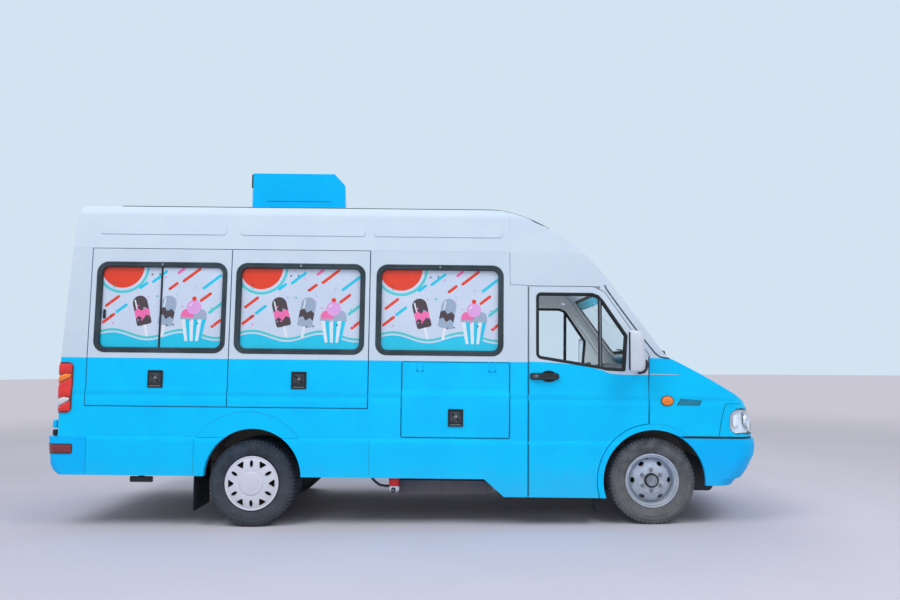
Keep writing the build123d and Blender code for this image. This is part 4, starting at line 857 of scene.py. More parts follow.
# "across" is the way to the front wheel, the outer rear one and the inner rear one
tyreForm = {"radius": 0.355, "pitches": 66, "smooth": 30,
    "hub": {"front": (2.004, 0.355), "rear": (-1.306, 0.355)}, "across": (0.842, 0.862, 0.634),
    "section": [(0.2045, 0.068), (0.223, 0.0765), (0.229, 0.083), (0.24, 0.0905), (0.244, 0.0905),
    (0.2475, 0.0932), (0.252, 0.095), (0.276, 0.0972), (0.279, 0.0985), (0.286, 0.0988),
    (0.289, 0.0974), (0.307, 0.0958), (0.3095, 0.0968), (0.314, 0.0962), (0.3165, 0.0942),
    (0.329, 0.0892), (0.338, 0.0825), (0.344, 0.072), (0.3462, 0.05), (0.3472, 0.025)],
    "ribs": [(-0.0105, 0.0105, 0.0, 0.34), (0.0165, 0.042, 0.022, 0.3), (0.048, 0.077, -0.012, 0.15)]}


def hubPlace(axle, y):
    # the centre of a wheel, and the way that is outboard there
    x, z = tyreForm["hub"][axle]
    return Vector((x, y, z)), (1 if y > 0 else -1)


def addTyre(shape, axle, y):
    centre, side = hubPlace(axle, y)
    half = tyreForm["section"]
    profile = [(r, side * out) for r, out in half] + [(r, -side * out) for r, out in half[::-1]]
    shape.revolve(profile, centre, 132, ring=True)
    step = 2 * math.pi / tyreForm["pitches"]
    for low, high, slant, gap in tyreForm["ribs"]:
        for mirror in ((1,) if low < 0 else (1, -1)):
            for k in range(tyreForm["pitches"]):
                start = step * (k + (0.5 if mirror < 0 else 0.0))
                stop = start + step * (1 - gap)
                addBlock(shape, centre, mirror * low, mirror * high, start, stop, slant)
                if high > 0.07:
                    addLug(shape, centre, mirror, start + slant, stop + slant)


def wheelPoint(centre, r, y, a):
    return centre + Vector((r * math.cos(a), y, r * math.sin(a)))


def addBlock(shape, centre, y0, y1, a0, a1, slant):
    # one tread block, narrower at its top, leaning by the slant
    points = []
    crown = tyreForm["radius"]
    for lift, pull in ((0.0, 0.0), (0.72, 0.06), (1.0, 0.16)):
        middleY, middleA = (y0 + y1) / 2, (a0 + a1) / 2
        for y, a, lean in ((y0, a0, 0.0), (y1, a0, slant), (y1, a1, slant), (y0, a1, 0.0)):
            dropped = 0.0006 + 0.25 * max(0.0, abs(y) - 0.045) ** 1.5 if lift else 0.0
            r = 0.3435 + (crown - 0.3435) * lift - dropped * lift
            points.append(wheelPoint(centre, r, y + (middleY - y) * pull, a + (middleA - a) * pull + lean))
    faces = [[8, 9, 10, 11]]
    for ring in (0, 4):
        faces += [[ring + i, ring + (i + 1) % 4, ring + 4 + (i + 1) % 4, ring + 4 + i] for i in range(4)]
    shape.add(points, faces)


def addLug(shape, centre, mirror, a0, a1):
    # the shoulder block that runs down on to the side wall
    line = [(0.3525, 0.078), (0.348, 0.0835), (0.342, 0.088), (0.335, 0.0905)]
    foot = [(0.341, 0.072), (0.338, 0.076), (0.3345, 0.08), (0.3305, 0.0855)]
    inset = (a1 - a0) * 0.07
    points = [wheelPoint(centre, r, mirror * y, a) for a, path in ((a0, foot), (a0 + inset, line),
        (a1 - inset, line), (a1, foot)) for r, y in path]
    faces = [[4 * i + k, 4 * i + k + 1, 4 * i + k + 5, 4 * i + k + 4] for i in range(3) for k in range(3)]
    faces += [[0, 4, 8, 12], [15, 11, 7, 3]]
    shape.add(points, faces)


for end, side in bothSides:
    tread = Shape()
    addTyre(tread, "front", side * tyreForm["across"][0])
    tread.finish("tyreFront" + end, "front_wheel_" + end.lower(), "tyre", "tyreDusty",
        replaces="tyre_front_" + end.lower(), smooth=tyreForm["smooth"])
    tread = Shape()
    for y in tyreForm["across"][1:]:
        addTyre(tread, "rear", side * y)
    tread.finish("tyresRear" + end, "rear_wheels_" + end.lower(), "tyre", "tyreDark",
        replaces="tyres_rear_" + end.lower(), smooth=tyreForm["smooth"])

frontWheel = {"barrel": [(0.2205, 0.0735), (0.2225, 0.078), (0.2215, 0.0825), (0.218, 0.085),
    (0.213, 0.0845), (0.2085, 0.0805), (0.2062, 0.0735), (0.204, 0.069), (0.199, 0.066),
    (0.195, 0.0655), (0.1925, 0.0625), (0.1905, 0.056), (0.1895, 0.03), (0.188, -0.01),
    (0.186, -0.07), (0.206, -0.083), (0.2225, -0.083), (0.2225, -0.078), (0.2035, -0.072),
    (0.2032, 0.07)], "disc": [(0.0, 0.05), (0.1, 0.05), (0.108, 0.0492), (0.1125, 0.0465),
    (0.1165, 0.0415), (0.123, 0.0385), (0.145, 0.0335), (0.162, 0.026), (0.1725, 0.014),
    (0.178, 0.002), (0.1885, -0.002), (0.1885, -0.008), (0.174, -0.005), (0.166, 0.008),
    (0.156, 0.0175), (0.143, 0.024), (0.121, 0.0295), (0.11, 0.034), (0.104, 0.041),
    (0.0, 0.042)], "ventCircle": 0.152, "vent": (0.0165, 0.0235), "nutCircle": 0.087, "nut": 0.0125}


def cutHoles(piece, cutter):
    # takes one closed mesh out of another, and keeps the result as plain mesh
    scene.collection.objects.link(cutter)
    tool = piece.modifiers.new("holes", "BOOLEAN")
    tool.operation, tool.object, tool.solver = "DIFFERENCE", cutter, "EXACT"
    bpy.context.view_layer.update()
    mesh = bpy.data.meshes.new_from_object(piece.evaluated_get(bpy.context.evaluated_depsgraph_get()))
    piece.modifiers.remove(tool)
    piece.data = mesh
    mesh.set_sharp_from_angle(angle=math.radians(smoothAngle))
    bpy.data.objects.remove(cutter)


def plainObject(shape):
    mesh = bpy.data.meshes.new("cutter")
    mesh.from_pydata(shape.points, [], shape.faces)
    form = bmesh.new()
    form.from_mesh(mesh)
    bmesh.ops.recalc_face_normals(form, faces=form.faces)
    form.to_mesh(mesh)
    form.free()
    return bpy.data.objects.new("cutter", mesh)


def wheelFace(centre, side):
    # a place on a wheel's face: across, up, and out from its middle plane
    return lambda u, v, out: centre + Vector((u, side * out, v))


def polar(r, turn):
    return r * math.cos(math.radians(turn)), r * math.sin(math.radians(turn))


def turnedOval(radius, turn, radial, across, steps=20):
    # an oval on a circle, its first half size along the radius
    u, v = polar(radius, turn)
    return turnedAbout(oval(0, 0, radial, across, steps), u, v, turn)


for end, side in bothSides:
    body, node = "front_wheel_" + end.lower(), "wheel_front_" + end.lower()
    centre, side = hubPlace("front", side * tyreForm["across"][0])
    face = wheelFace(centre, side)
    disc = Shape()
    disc.revolve([(r, side * out) for r, out in frontWheel["disc"]], centre, 120, caps=(False, False))
    wheel = disc.finish("wheelDisc" + end, body, "steel_wheel", "wheelSteel", replaces=node)
    vents = Shape()
    for k in range(6):
        vents.slab(turnedOval(frontWheel["ventCircle"], 60 * k, *frontWheel["vent"]),
            [(0, -0.05), (0, 0.08)], face)
    cutHoles(wheel, plainObject(vents))
    barrel = Shape()
    barrel.revolve([(r, side * out) for r, out in frontWheel["barrel"]], centre, 120, ring=True)
    for k in range(6):
        ring = turnedOval(frontWheel["ventCircle"], 60 * k, frontWheel["vent"][0] + 0.003,
            frontWheel["vent"][1] + 0.003, 24)
        barrel.tube([face(u, v, 0.0377 - 0.0075 * (math.hypot(u, v) - 0.135) / 0.027)
            for u, v in ring + ring[:1]], 0.0022, 6)
    barrel.finish("wheelRim" + end, body, "steel_wheel", "wheelSteel", replaces=node)
    nuts = Shape()
    for k in range(6):
        u, v = polar(frontWheel["nutCircle"], 30 + 60 * k)
        hexagon = [(u + frontWheel["nut"] * math.cos(a), v + frontWheel["nut"] * math.sin(a))
            for a in (math.pi * n / 3 + 0.3 * k for n in range(6))]
        nuts.slab(oval(u, v, 0.0175, 0.0175, 24), [(0, 0.049), (0, 0.0525), (0.002, 0.0535)], face)
        nuts.slab(hexagon, [(0, 0.053), (0, 0.064), (0.0015, 0.0656)], face)
        nuts.slab(oval(u, v, 0.0062, 0.0062, 16), [(0, 0.065), (0, 0.0725), (0.001, 0.0736)], face)
    nuts.finish("wheelNuts" + end, body, "steel_wheel", "zinc", replaces=node)
    hub = Shape()
    hub.slab(oval(0, 0, 0.0595, 0.0595, 64), [(0, 0.049), (0, 0.068), (0.003, 0.071), (0.009, 0.071),
        (0.011, 0.065), (0.013, 0.06)], face)
    hub.slab(oval(0, 0, 0.0465, 0.0465, 64), [(0, 0.06), (0, 0.0765), (0.003, 0.0795), (0.01, 0.0795),
        (0.012, 0.0785), (0.03, 0.078)], face, tint=1)
    for k in range(10):
        u, v = polar(0.0395, 36 * k)
        hub.slab(oval(u, v, 0.0045, 0.0045, 12), [(0, 0.078), (0, 0.082), (0.001, 0.083)], face, tint=1)
    hub.finish("wheelHub" + end, body, "steel_wheel", "blackPlastic", "zinc", replaces=node)
    valve = Shape()
    u, v = polar(0.183, 100)
    valve.tube([face(u, v, 0.02), face(u, v, 0.04), face(u * 0.98, v * 0.98, 0.052)], 0.0042, 10)
    valve.tube([face(u * 0.98, v * 0.98, 0.051), face(u * 0.975, v * 0.975, 0.06)], 0.0055, 10)
    valve.finish("wheelValve" + end, body, "black_plastic", "blackRubber", replaces=node)

rearCover = {
    "outer": [(0.2205, 0.0846), (0.2225, 0.0885), (0.2218, 0.0925), (0.218, 0.0945), (0.213, 0.0938),
              (0.2085, 0.0915), (0.2045, 0.0912), (0.199, 0.0938), (0.18, 0.0985), (0.15, 0.103),
              (0.12, 0.1042), (0.102, 0.1046), (0.0985, 0.1036), (0.0965, 0.104), (0.095, 0.107),
              (0.0925, 0.1095), (0.088, 0.1103), (0.0, 0.1108)],
    "triangle": (0.191, 0.034, 0.138), "slot": (0.161, 0.0275, 0.013)}


for end, side in bothSides:
    body, node = "rear_wheels_" + end.lower(), "wheel_cover_" + end.lower()
    centre, side = hubPlace("rear", side * tyreForm["across"][1])
    face = wheelFace(centre, side)
    inner = [(max(0.0, r - 0.001), out - 0.003) for r, out in rearCover["outer"][::-1]]
    dome = Shape()
    dome.revolve([(r, side * out) for r, out in rearCover["outer"] + inner], centre, 120, ring=True)
    cover = dome.finish("wheelCover" + end, body, "cover_white", "coverPlastic", replaces=node)
    holes, lips = Shape(), Shape()
    far, half, near = rearCover["triangle"]
    for k in range(6):
        spot = roundedOutline([(far, -half, 0.006), (far, half, 0.006), (near, 0.0, 0.008)], 0.006, 5)
        spot = turnedAbout(spot, 0, 0, 60 * k)
        slit = turnedOval(rearCover["slot"][0], 30 + 60 * k, rearCover["slot"][1], rearCover["slot"][2], 24)
        for outline in (spot, slit):
            holes.slab(outline, [(0, 0.06), (0, 0.13)], face)
            edge = insetOutline(turnedLeft(outline), -0.0022)
            lips.tube([face(u, v, 0.1044 - 0.0085 * max(0.0, (math.hypot(u, v) - 0.135) / 0.06))
                for u, v in edge + edge[:1]], 0.0021, 6)
    cutHoles(cover, plainObject(holes))
    lips.finish("coverLips" + end, body, "cover_white", "coverPlastic", replaces=node)
print("tyres and wheels built")

# Cab door windows, rear windows and the windscreen's rubber and sun strip

upperSlope = (0.984 - 0.955) / (2.275 - beltHeight)


def onUpperPlane(side):
    # the flat upper side of the body, carried on below the belt for the door glass
    return lambda x, z, out: Vector((x, side * (0.984 - (z - beltHeight) * upperSlope + out), z))


def denser(points, step):
    # the same outline with more points along its long runs
    result = []
    for a, b in zip(points, points[1:] + points[:1]):
        count = max(1, math.ceil(math.dist(a, b) / step))
        result += [(a[0] + (b[0] - a[0]) * k / count, a[1] + (b[1] - a[1]) * k / count)
            for k in range(count)]
    return result


cabWindow = {"corners": [(1.027, 1.388), (1.027, 1.94), (1.5, 1.94), (1.553, 1.92), (1.588, 1.882),
    (1.79, 1.587), (1.768, 1.285), (1.606, 1.292), (1.556, 1.305)], "corner": 0.018,
    "round": (0.048, 0.042, 0.018, 0.018, 0.018, 0.018, 0.018, 0.018, 0.018), "ring": 0.026,
    "divider": (1.548, 1.578), "depth": -0.017, "glass": 0.004}

for end, side in bothSides:
    body, node = "cab_door_%s_leaf" % end.lower(), "cab_window_" + end.lower()
    opening = insetOutline(roundedOutline(cabWindow["corners"], cabWindow["corner"], 6), fitGap)
    outline = insetOutline(roundedOutline(
        [c + (r,) for c, r in zip(cabWindow["corners"], cabWindow["round"])], 0.02, 6), 0.001)
    fill = Shape()
    fill.loft([[onSide(side)(x, z, out) for x, z in loop] for loop, out in ((opening, -0.034),
        (opening, 0.0), (outline, 0.0), (outline, -0.034))], ring=True)
    fill.finish("doorWindowFrame" + end, body, "body_paint", "doorPaint", replaces=node)
    outline = denser(outline, 0.04)
    ring = Shape()
    ring.slab(outline, [(0, -0.032), (0, 0.0008), (0.002, 0.0022), (0.007, 0.003), (0.012, 0.0022),
        (0.014, -0.001), (0.019, -0.004), (cabWindow["ring"] - 0.001, -0.01), (cabWindow["ring"], -0.014),
        (cabWindow["ring"], -0.032)], onSide(side), ring=True)
    near, far = cabWindow["divider"]
    bar = clipTo(insetOutline(outline, cabWindow["ring"] - 0.006),
        [(near, 1.2), (far, 1.2), (far, 2.0), (near, 2.0)])
    ring.slab(bar, [(0, -0.03), (0, -0.008), (0.003, -0.005)], onUpperPlane(side))
    middle = clipTo(insetOutline(outline, cabWindow["ring"] - 0.004), [(near + 0.01, 1.2),
        (far - 0.01, 1.2), (far - 0.01, 2.0), (near + 0.01, 2.0)])
    ring.slab(middle, [(0, -0.008), (0, -0.0035), (0.002, -0.0028)], onUpperPlane(side), tint=1)
    ring.finish("doorWindowRubber" + end, body, "window_rubber", "blackRubber", "greyPlastic",
        replaces=node)
    glass = Shape()
    for x0, x1 in ((0.9, near + 0.004), (far - 0.004, 2.0)):
        leaf = clipTo(insetOutline(outline, cabWindow["ring"] - 0.005),
            [(x0, 1.2), (x1, 1.2), (x1, 2.0), (x0, 2.0)])
        glass.slab(leaf, [(0, cabWindow["depth"] - cabWindow["glass"]), (0, cabWindow["depth"])],
            onUpperPlane(side))
    glass.finish("doorWindowGlass" + end, body, "glass", "clearGlass", replaces=node)


def onTail(y, z, out):
    # the tail leans forward from the belt up: across and up on it, and out to the rear
    x = -2.93 + max(0.0, z - beltHeight) * (2.93 - 2.832) / (2.72 - beltHeight)
    return Vector((x - out, y, z))


rearWindow = {"across": (0.13, 0.77), "up": (1.42, 2.08), "corner": 0.06, "ring": 0.025}

for end, side in bothSides:
    body, node = "rear_door_%s_leaf" % end.lower(), "rear_window_" + end.lower()
    y0, y1 = sorted((side * (rearWindow["across"][0] + fitGap), side * (rearWindow["across"][1] - fitGap)))
    low, high = rearWindow["up"]
    outline = roundedRect(y0, y1, low + fitGap, high - fitGap, rearWindow["corner"], 8)
    ring = Shape()
    ring.slab(outline, [(0, -0.034), (0, 0.0012), (0.003, 0.0034), (0.009, 0.004), (0.0115, 0.0018),
        (0.014, 0.0018), (0.016, 0.0036), (0.021, 0.002), (0.025, -0.008), (0.025, -0.034)], onTail,
        ring=True)
    glass = Shape()
    glass.slab(insetOutline(outline, 0.021), [(0, -0.023), (0, -0.018)], onTail)
    ring.finish("rearWindowRubber" + end, body, "window_rubber", "blackRubber", replaces=node)
    glass.finish("rearWindowGlass" + end, body, "glass", "tintedGlass", replaces=node)

screen = {"top": (1.632, 2.05), "foot": (2.112, 1.412), "half": (0.88, 0.848), "edges": (0.748, 0.04),
    "corner": 0.075}
screenTop, screenFoot = (Vector((x, 0, z)) for x, z in (screen["top"], screen["foot"]))
onScreen = onPlane(screenTop, Vector((0, 1, 0)), (screenTop - screenFoot).normalized())
screenOutline = roundedOutline([(-screen["half"][0], -screen["edges"][0]),
    (screen["half"][0], -screen["edges"][0]), (screen["half"][1], -screen["edges"][1]),
    (-screen["half"][1], -screen["edges"][1])], screen["corner"], 8)
seal = Shape()
seal.slab(denser(screenOutline, 0.1), [(-0.01, -0.002), (-0.009, 0.0015), (-0.004, 0.0035),
    (0.004, 0.003), (0.012, -0.001), (0.016, -0.0045), (0.016, -0.008), (-0.006, -0.008)], onScreen,
    ring=True)
seal.finish("screenSeal", "body", "window_rubber", "blackRubber")
strip = Shape()
band = clipTo(insetOutline(screenOutline, 0.01), [(-0.9, -0.165), (0.9, -0.165), (0.9, 0.0), (-0.9, 0.0)])
strip.slab(band, [(0, -0.0128), (0, -0.0122)], onScreen)
strip.finish("screenSunStrip", "body", "glass", "sunStrip")
frit = Shape()
frit.slab(denser(insetOutline(screenOutline, 0.004), 0.1), [(0, -0.0129), (0, -0.0123), (0.034, -0.0123),
    (0.034, -0.0129)], onScreen, ring=True)
frit.finish("screenBorder", "body", "glass", "blackPlastic")
print("windows of the doors and screen built")

# Lamps: patches that wrap the body's corners, drawn as (round the corner, up)


def acrossAt(outline, u):
    # the lowest and highest point of a convex outline at one place across
    heights = []
    for a, b in zip(outline, outline[1:] + outline[:1]):
        if min(a[0], b[0]) <= u <= max(a[0], b[0]) and a[0] != b[0]:
            heights.append(a[1] + (b[1] - a[1]) * (u - a[0]) / (b[0] - a[0]))
    return min(heights), max(heights)


def pillow(shape, outline, place, front, back, swell=0.0, soft=0.02, columns=28, rows=12, tint=0):
    # a closed pad between two depths, its face swelling away from its edge
    left, right = min(p[0] for p in outline), max(p[0] for p in outline)
    grid = []
    for i in range(columns + 1):
        share = 0.5 - 0.5 * math.cos(math.pi * i / columns)
        u = left + (right - left) * (0.0005 + 0.999 * share)
        low, high = acrossAt(outline, u)
        grid.append([(u, low + (high - low) * (0.5 - 0.5 * math.cos(math.pi * k / rows)))
            for k in range(rows + 1)])
    points, faces = [], []
    for depth in (front, back):
        for i, column in enumerate(grid):
            for k, (u, v) in enumerate(column):
                out = depth
                if depth == front:
                    edge = min(u - left, right - u, v - column[0][1], column[-1][1] - v)
                    out += swell * (1 - (1 - min(1.0, max(0.0, edge) / soft)) ** 2)
                points.append(place(u, v, out))
    size = (columns + 1) * (rows + 1)
    for i in range(columns):
        for k in range(rows):
            a = i * (rows + 1) + k
            faces.append([a, a + rows + 1, a + rows + 2, a + 1])
            faces.append([size + a, size + a + 1, size + a + rows + 2, size + a + rows + 1])
    rim = [i * (rows + 1) for i in range(columns + 1)]
    rim += [columns * (rows + 1) + k for k in range(1, rows + 1)]
    rim += [i * (rows + 1) + rows for i in range(columns - 1, -1, -1)] + list(range(rows - 1, 0, -1))
    for a, b in zip(rim, rim[1:] + rim[:1]):
        faces.append([a, size + a, size + b, b])
    shape.add(points, faces, tint)


# The nose in plan: how far forward it is at each height, and its bends
noseLevels = [(0.762, 2.952), (0.86, 2.944), (0.943, 2.926), (1.005, 2.904), (1.356, 2.78)]
nose = {"half": 1.004, "bend": 3.67, "corner": 0.2, "start": 2.64}


def noseFront(z):
    for (z0, x0), (z1, x1) in zip(noseLevels, noseLevels[1:]):
        if z <= z1:
            return x0 + (x1 - x0) * (z - z0) / (z1 - z0)
    return noseLevels[-1][1]


def roundNose(side):
    # along the body's outside, from a place on its side round to the front
    def place(s, z, out):
        bend, corner = nose["bend"], nose["corner"]
        arcX = noseFront(z) - bend
        run = nose["half"] - corner
        x0 = arcX + math.sqrt((bend - corner) ** 2 - run ** 2)
        turn = math.atan2(run, x0 - arcX)
        length = corner * (math.pi / 2 - turn)
        t = s + nose["start"] - x0
        most = halfWidthAt(z) + out
        if t < 0:
            return Vector((x0 + t, side * most, z))
        if t < length:
            a = math.pi / 2 - t / corner
            y = min(most, run + (corner + out) * math.sin(a))
            return Vector((x0 + (corner + out) * math.cos(a), side * y, z))
        a = turn - (t - length) / bend
        return Vector((arcX + (bend + out) * math.cos(a), side * (bend + out) * math.sin(a), z))
    return place


def roundTail(side, far=-2.93, corner=0.07):
    # the same round a rear corner: 0 where the corner begins, then rearward
    def place(s, z, out):
        most = halfWidthAt(z) + out
        x0, length, run = far + corner, corner * math.pi / 2, nose["half"] - corner
        if s < 0:
            return Vector((x0 - s, side * most, z))
        if s < length:
            a = s / corner
            y = min(most, run + (corner + out) * math.cos(a))
            return Vector((x0 - (corner + out) * math.sin(a), side * y, z))
        return Vector((far - out, side * (run - (s - length)), z))
    return place


headlamp = {"outline": [(-0.0195, 0.7885, 0.056), (0.567, 0.7885, 0.01), (0.529, 0.9845, 0.01),
    (-0.0195, 0.9845, 0.074)], "bulbs": [(0.205, 0.892, 0.066), (0.4, 0.886, 0.056)],
    "marker": (0.014, 0.066, 0.838, 0.935)}

for end, side in bothSides:
    place = roundNose(side)
    outline = roundedOutline(headlamp["outline"], 0.02, 8)
    lens = Shape()
    pillow(lens, insetOutline(outline, 0.004), place, -0.0015, -0.0055, 0.006, 0.05, 44, 20)
    lens.finish("headlampLens" + end, "body", "lamp_clear", "lampGlass", replaces="headlamps")
    bucket = Shape()
    pillow(bucket, insetOutline(outline, 0.003), place, -0.03, -0.037, -0.004, 0.05, 44, 16)
    bucket.slab(denser(outline, 0.02), [(0.0005, -0.036), (0.0005, -0.002), (0.004, -0.002),
        (0.004, -0.036)], place, ring=True, tint=2)
    for s, z, r in headlamp["bulbs"]:
        middle = place(s, z, -0.03)
        face = (place(s, z, 0.0) - middle).normalized()
        across = Vector((0, 0, 1)).cross(face).normalized()
        up = face.cross(across)
        ways = (across, up) if across.cross(up).dot(face) > 0 else (up, across)
        spot = onPlane(middle, *ways)
        bowl = [(r - r * k / 10, 0.024 * (1 - k / 10) ** 2 - 0.002) for k in range(9)]
        bucket.loft([[spot(q * math.cos(a), q * math.sin(a), out) for a in turns(40)]
            for q, out in [(r + 0.003, -0.002), (r + 0.003, 0.022)] + bowl], caps=(False, True))
        bucket.loft([[spot(q * math.cos(a), q * math.sin(a), out) for a in turns(20)]
            for q, out in ((0.007, -0.002), (0.008, 0.01), (0.008, 0.019), (0.005, 0.023), (0.001, 0.024))],
            tint=1)
    s0, s1, z0, z1 = headlamp["marker"]
    pillow(bucket, roundedRect(s0, s1, z0, z1, 0.02), place, -0.018, -0.031, 0.006, 0.02, 10, 10, tint=3)
    bucket.finish("headlampBowl" + end, "body", "lamp_clear", "reflector", "lampGlass", "blackPlastic",
        "clearLens", replaces="headlamps")
    gasket = Shape()
    for low, high, s0, s1 in ((0.9862, 0.9945, 0.034, 0.532), (0.7785, 0.7868, 0.034, 0.57)):
        gasket.slab(denser(roundedRect(s0, s1, low, high, 0.003, 3), 0.03),
            [(0, -0.002), (0, 0.0008), (0.001, 0.0014)], place)
    gasket.finish("headlampGasket" + end, "body", "window_rubber", "blackRubber")

# each segment is a colour and its corners, as shares rearward and up
tailLamp = {"from": -0.057, "to": 0.124, "low": 0.899, "high": 1.315, "segments": [
    ("redLens", [(0.06, 0.965), (0.97, 0.965), (0.97, 0.7), (0.62, 0.765), (0.06, 0.795)]),
    ("amberLens", [(0.08, 0.762), (0.36, 0.772), (0.97, 0.665), (0.97, 0.525), (0.74, 0.57), (0.12, 0.7)]),
    ("redLens", [(0.06, 0.695), (0.7, 0.552), (0.97, 0.505), (0.97, 0.235), (0.6, 0.29), (0.06, 0.325)]),
    ("clearLens", [(0.1, 0.292), (0.38, 0.312), (0.97, 0.212), (0.97, 0.066), (0.72, 0.1), (0.14, 0.24)]),
    ("redLens", [(0.06, 0.235), (0.3, 0.192), (0.7, 0.082), (0.9, 0.035), (0.06, 0.035)])]}

for end, side in bothSides:
    place = roundTail(side)
    wide, tall = tailLamp["to"] - tailLamp["from"], tailLamp["high"] - tailLamp["low"]
    edge = [(tailLamp["from"], tailLamp["low"], 0.045), (tailLamp["to"], tailLamp["low"], 0.012),
        (tailLamp["to"], tailLamp["high"], 0.012), (tailLamp["from"], tailLamp["high"], 0.045)]
    frameOutline = denser(roundedOutline(edge, 0.02), 0.012)
    lamp = Shape()
    pillow(lamp, frameOutline, place, 0.004, 0.0005, 0.001, 0.01, 30, 16, tint=3)
    lamp.slab(frameOutline, [(0, 0.0005), (0, 0.008), (0.001, 0.0098), (0.003, 0.0098), (0.0045, 0.007),
        (0.0045, 0.003)], place, ring=True, tint=3)
    tones = ["redLens", "amberLens", "clearLens"]
    for tone, corners in tailLamp["segments"]:
        corners = [(tailLamp["from"] + a * wide, tailLamp["low"] + b * tall, 0.006) for a, b in corners]
        pillow(lamp, roundedOutline(corners, 0.006, 5), place, 0.0065, 0.004, 0.007, 0.022, 26, 12,
            tint=tones.index(tone))
    lamp.finish("tailLamp" + end, "body", "lamp_red", *tones, "darkRedLens", replaces="tail_lamps")


def drape(node, x, y, z, way):
    # a point on the outside of a frame piece, in the body's level frame, and the way out of it there
    back = bodyTurn.inverted()
    hit, where, normal, index = nodes[node].ray_cast(bodyTurn @ Vector((x, y, z)),
        bodyTurn.to_3x3() @ Vector(way))
    return (back @ where, back.to_3x3() @ normal) if hit else (Vector((x, y, z)), Vector(way) * -1)


def roundBumper(node, side, pivotX, pivotY, rearward):
    # along a bumper's outside from its side round to its end, found with rays
    def place(s, z, out):
        turn = min(math.pi / 2, max(0.0, s / 0.15))
        way = Vector((rearward * math.sin(turn), side * math.cos(turn), 0))
        middle = Vector((pivotX + (-s * -rearward if s < 0 else 0.0), side * pivotY, z))
        if s > 0.15 * math.pi / 2:
            middle.y -= side * (s - 0.15 * math.pi / 2)
        spot, normal = drape(node, *(middle + way * 0.6), -way)
        return spot + normal * out
    return place


bumperReflector = {"from": -0.09, "to": 0.215, "low": 0.566, "high": 0.647}
for end, side in bothSides:
    place = roundBumper("rear_bumper", side, -2.87, 0.87, -1)
    outline = denser(roundedRect(bumperReflector["from"], bumperReflector["to"], bumperReflector["low"],
        bumperReflector["high"], 0.014, 5), 0.012)
    mark = Shape()
    pillow(mark, insetOutline(outline, 0.006), place, 0.0015, -0.001, 0.004, 0.02, 24, 8)
    mark.slab(outline, [(0, -0.001), (0, 0.004), (0.002, 0.006), (0.005, 0.005), (0.007, 0.0015),
        (0.007, -0.001)], place, ring=True, tint=1)
    mark.finish("bumperReflector" + end, "body", "lamp_red", "darkRedLens", "blackPlastic")
print("lamps built")

# Handles, latches, mirrors, hinges, trim and the other small pieces

doorHandle = {"bar": (0.977, 1.219, 1.21, 1.267), "cup": (1.1325, 1.2395, 0.0675, 0.0485),
    "lock": (1.026, 1.242), "profile": [(0, -0.001), (0, 0.012), (0.003, 0.021), (0.008, 0.0275),
    (0.014, 0.03), (0.02, 0.031)]}

for end, side in bothSides:
    place = onSide(side)
    x0, x1, z0, z1 = doorHandle["bar"]
    grip = Shape()
    u, v, rx, rz = doorHandle["cup"]
    grip.slab(oval(u, v, rx, rz, 40), [(0, -0.001), (0, 0.0022), (0.002, 0.0034), (0.005, 0.003),
        (0.008, 0.0012)], place)
    grip.slab(roundedOutline([(x0, z0, 0.02), (x1, z0, 0.026), (x1, z1, 0.026), (x0, z1, 0.02)], 0.02),
        doorHandle["profile"], place)
    grip.slab(roundedRect(x0 + 0.012, x0 + 0.08, z0 + 0.01, z1 - 0.01, 0.014),
        [(0, 0.028), (0, 0.0325), (0.002, 0.034)], place, tint=1)
    grip.slab(roundedRect(x0 + 0.092, x1 - 0.016, z0 + 0.012, z0 + 0.019, 0.003),
        [(0, 0.026), (0, 0.0325), (0.001, 0.033)], place, tint=1)
    u, v = doorHandle["lock"]
    grip.slab(oval(u, v, 0.0105, 0.0105, 28), [(0, 0.033), (0, 0.0365), (0.0015, 0.038)], place, tint=2)
    grip.slab(capsule(u, v, 0.011, 0.003, 90), [(0, 0.0378), (0, 0.0384)], place)
    grip.finish("doorHandle" + end, "cab_door_%s_leaf" % end.lower(), "black_plastic", "blackPlastic",
        "darkTrim", "zinc")

latch = {"size": (0.126, 0.144), "places": [(-2.125, 1.184, "hatch_rear_leaf"),
    (-0.936, 1.184, "hatch_front_leaf"), (0.364, 0.891, "locker_leaf")]}

for number, (x, z, body) in enumerate(latch["places"]):
    place = onSide(-1)
    wide, tall = latch["size"]
    plate = Shape()
    plate.slab(roundedRect(x - wide / 2, x + wide / 2, z - tall / 2, z + tall / 2, 0.006), [(0, -0.001),
        (0, 0.0065), (0.0015, 0.008), (0.006, 0.008), (0.01, 0.0056)], place)
    plate.slab(roundedRect(x - 0.046, x + 0.046, z - 0.04, z + 0.052, 0.01),
        [(0, 0.0052), (0, 0.0085), (0.003, 0.0105), (0.016, 0.0112)], place, tint=1)
    plate.slab(roundedRect(x - 0.046, x + 0.046, z - 0.06, z - 0.052, 0.003),
        [(0, 0.0052), (0, 0.0095), (0.001, 0.0102)], place, tint=2)
    plate.slab(oval(x + 0.002, z + 0.01, 0.0125, 0.0125, 32), [(0, 0.01), (0, 0.0135), (0.002, 0.0148)],
        place, tint=3)
    plate.slab(capsule(x + 0.002, z + 0.01, 0.014, 0.003, 90), [(0, 0.0147), (0, 0.0152)], place)
    plate.slab(roundedRect(x - 0.01, x + 0.014, z - 0.036, z - 0.014, 0.003),
        [(0, 0.011), (0, 0.0125), (0.002, 0.0135)], place, tint=1)
    plate.finish("latch%d" % number, body, "black_plastic", "blackPlastic", "darkTrim", "greyPlastic",
        "zinc")

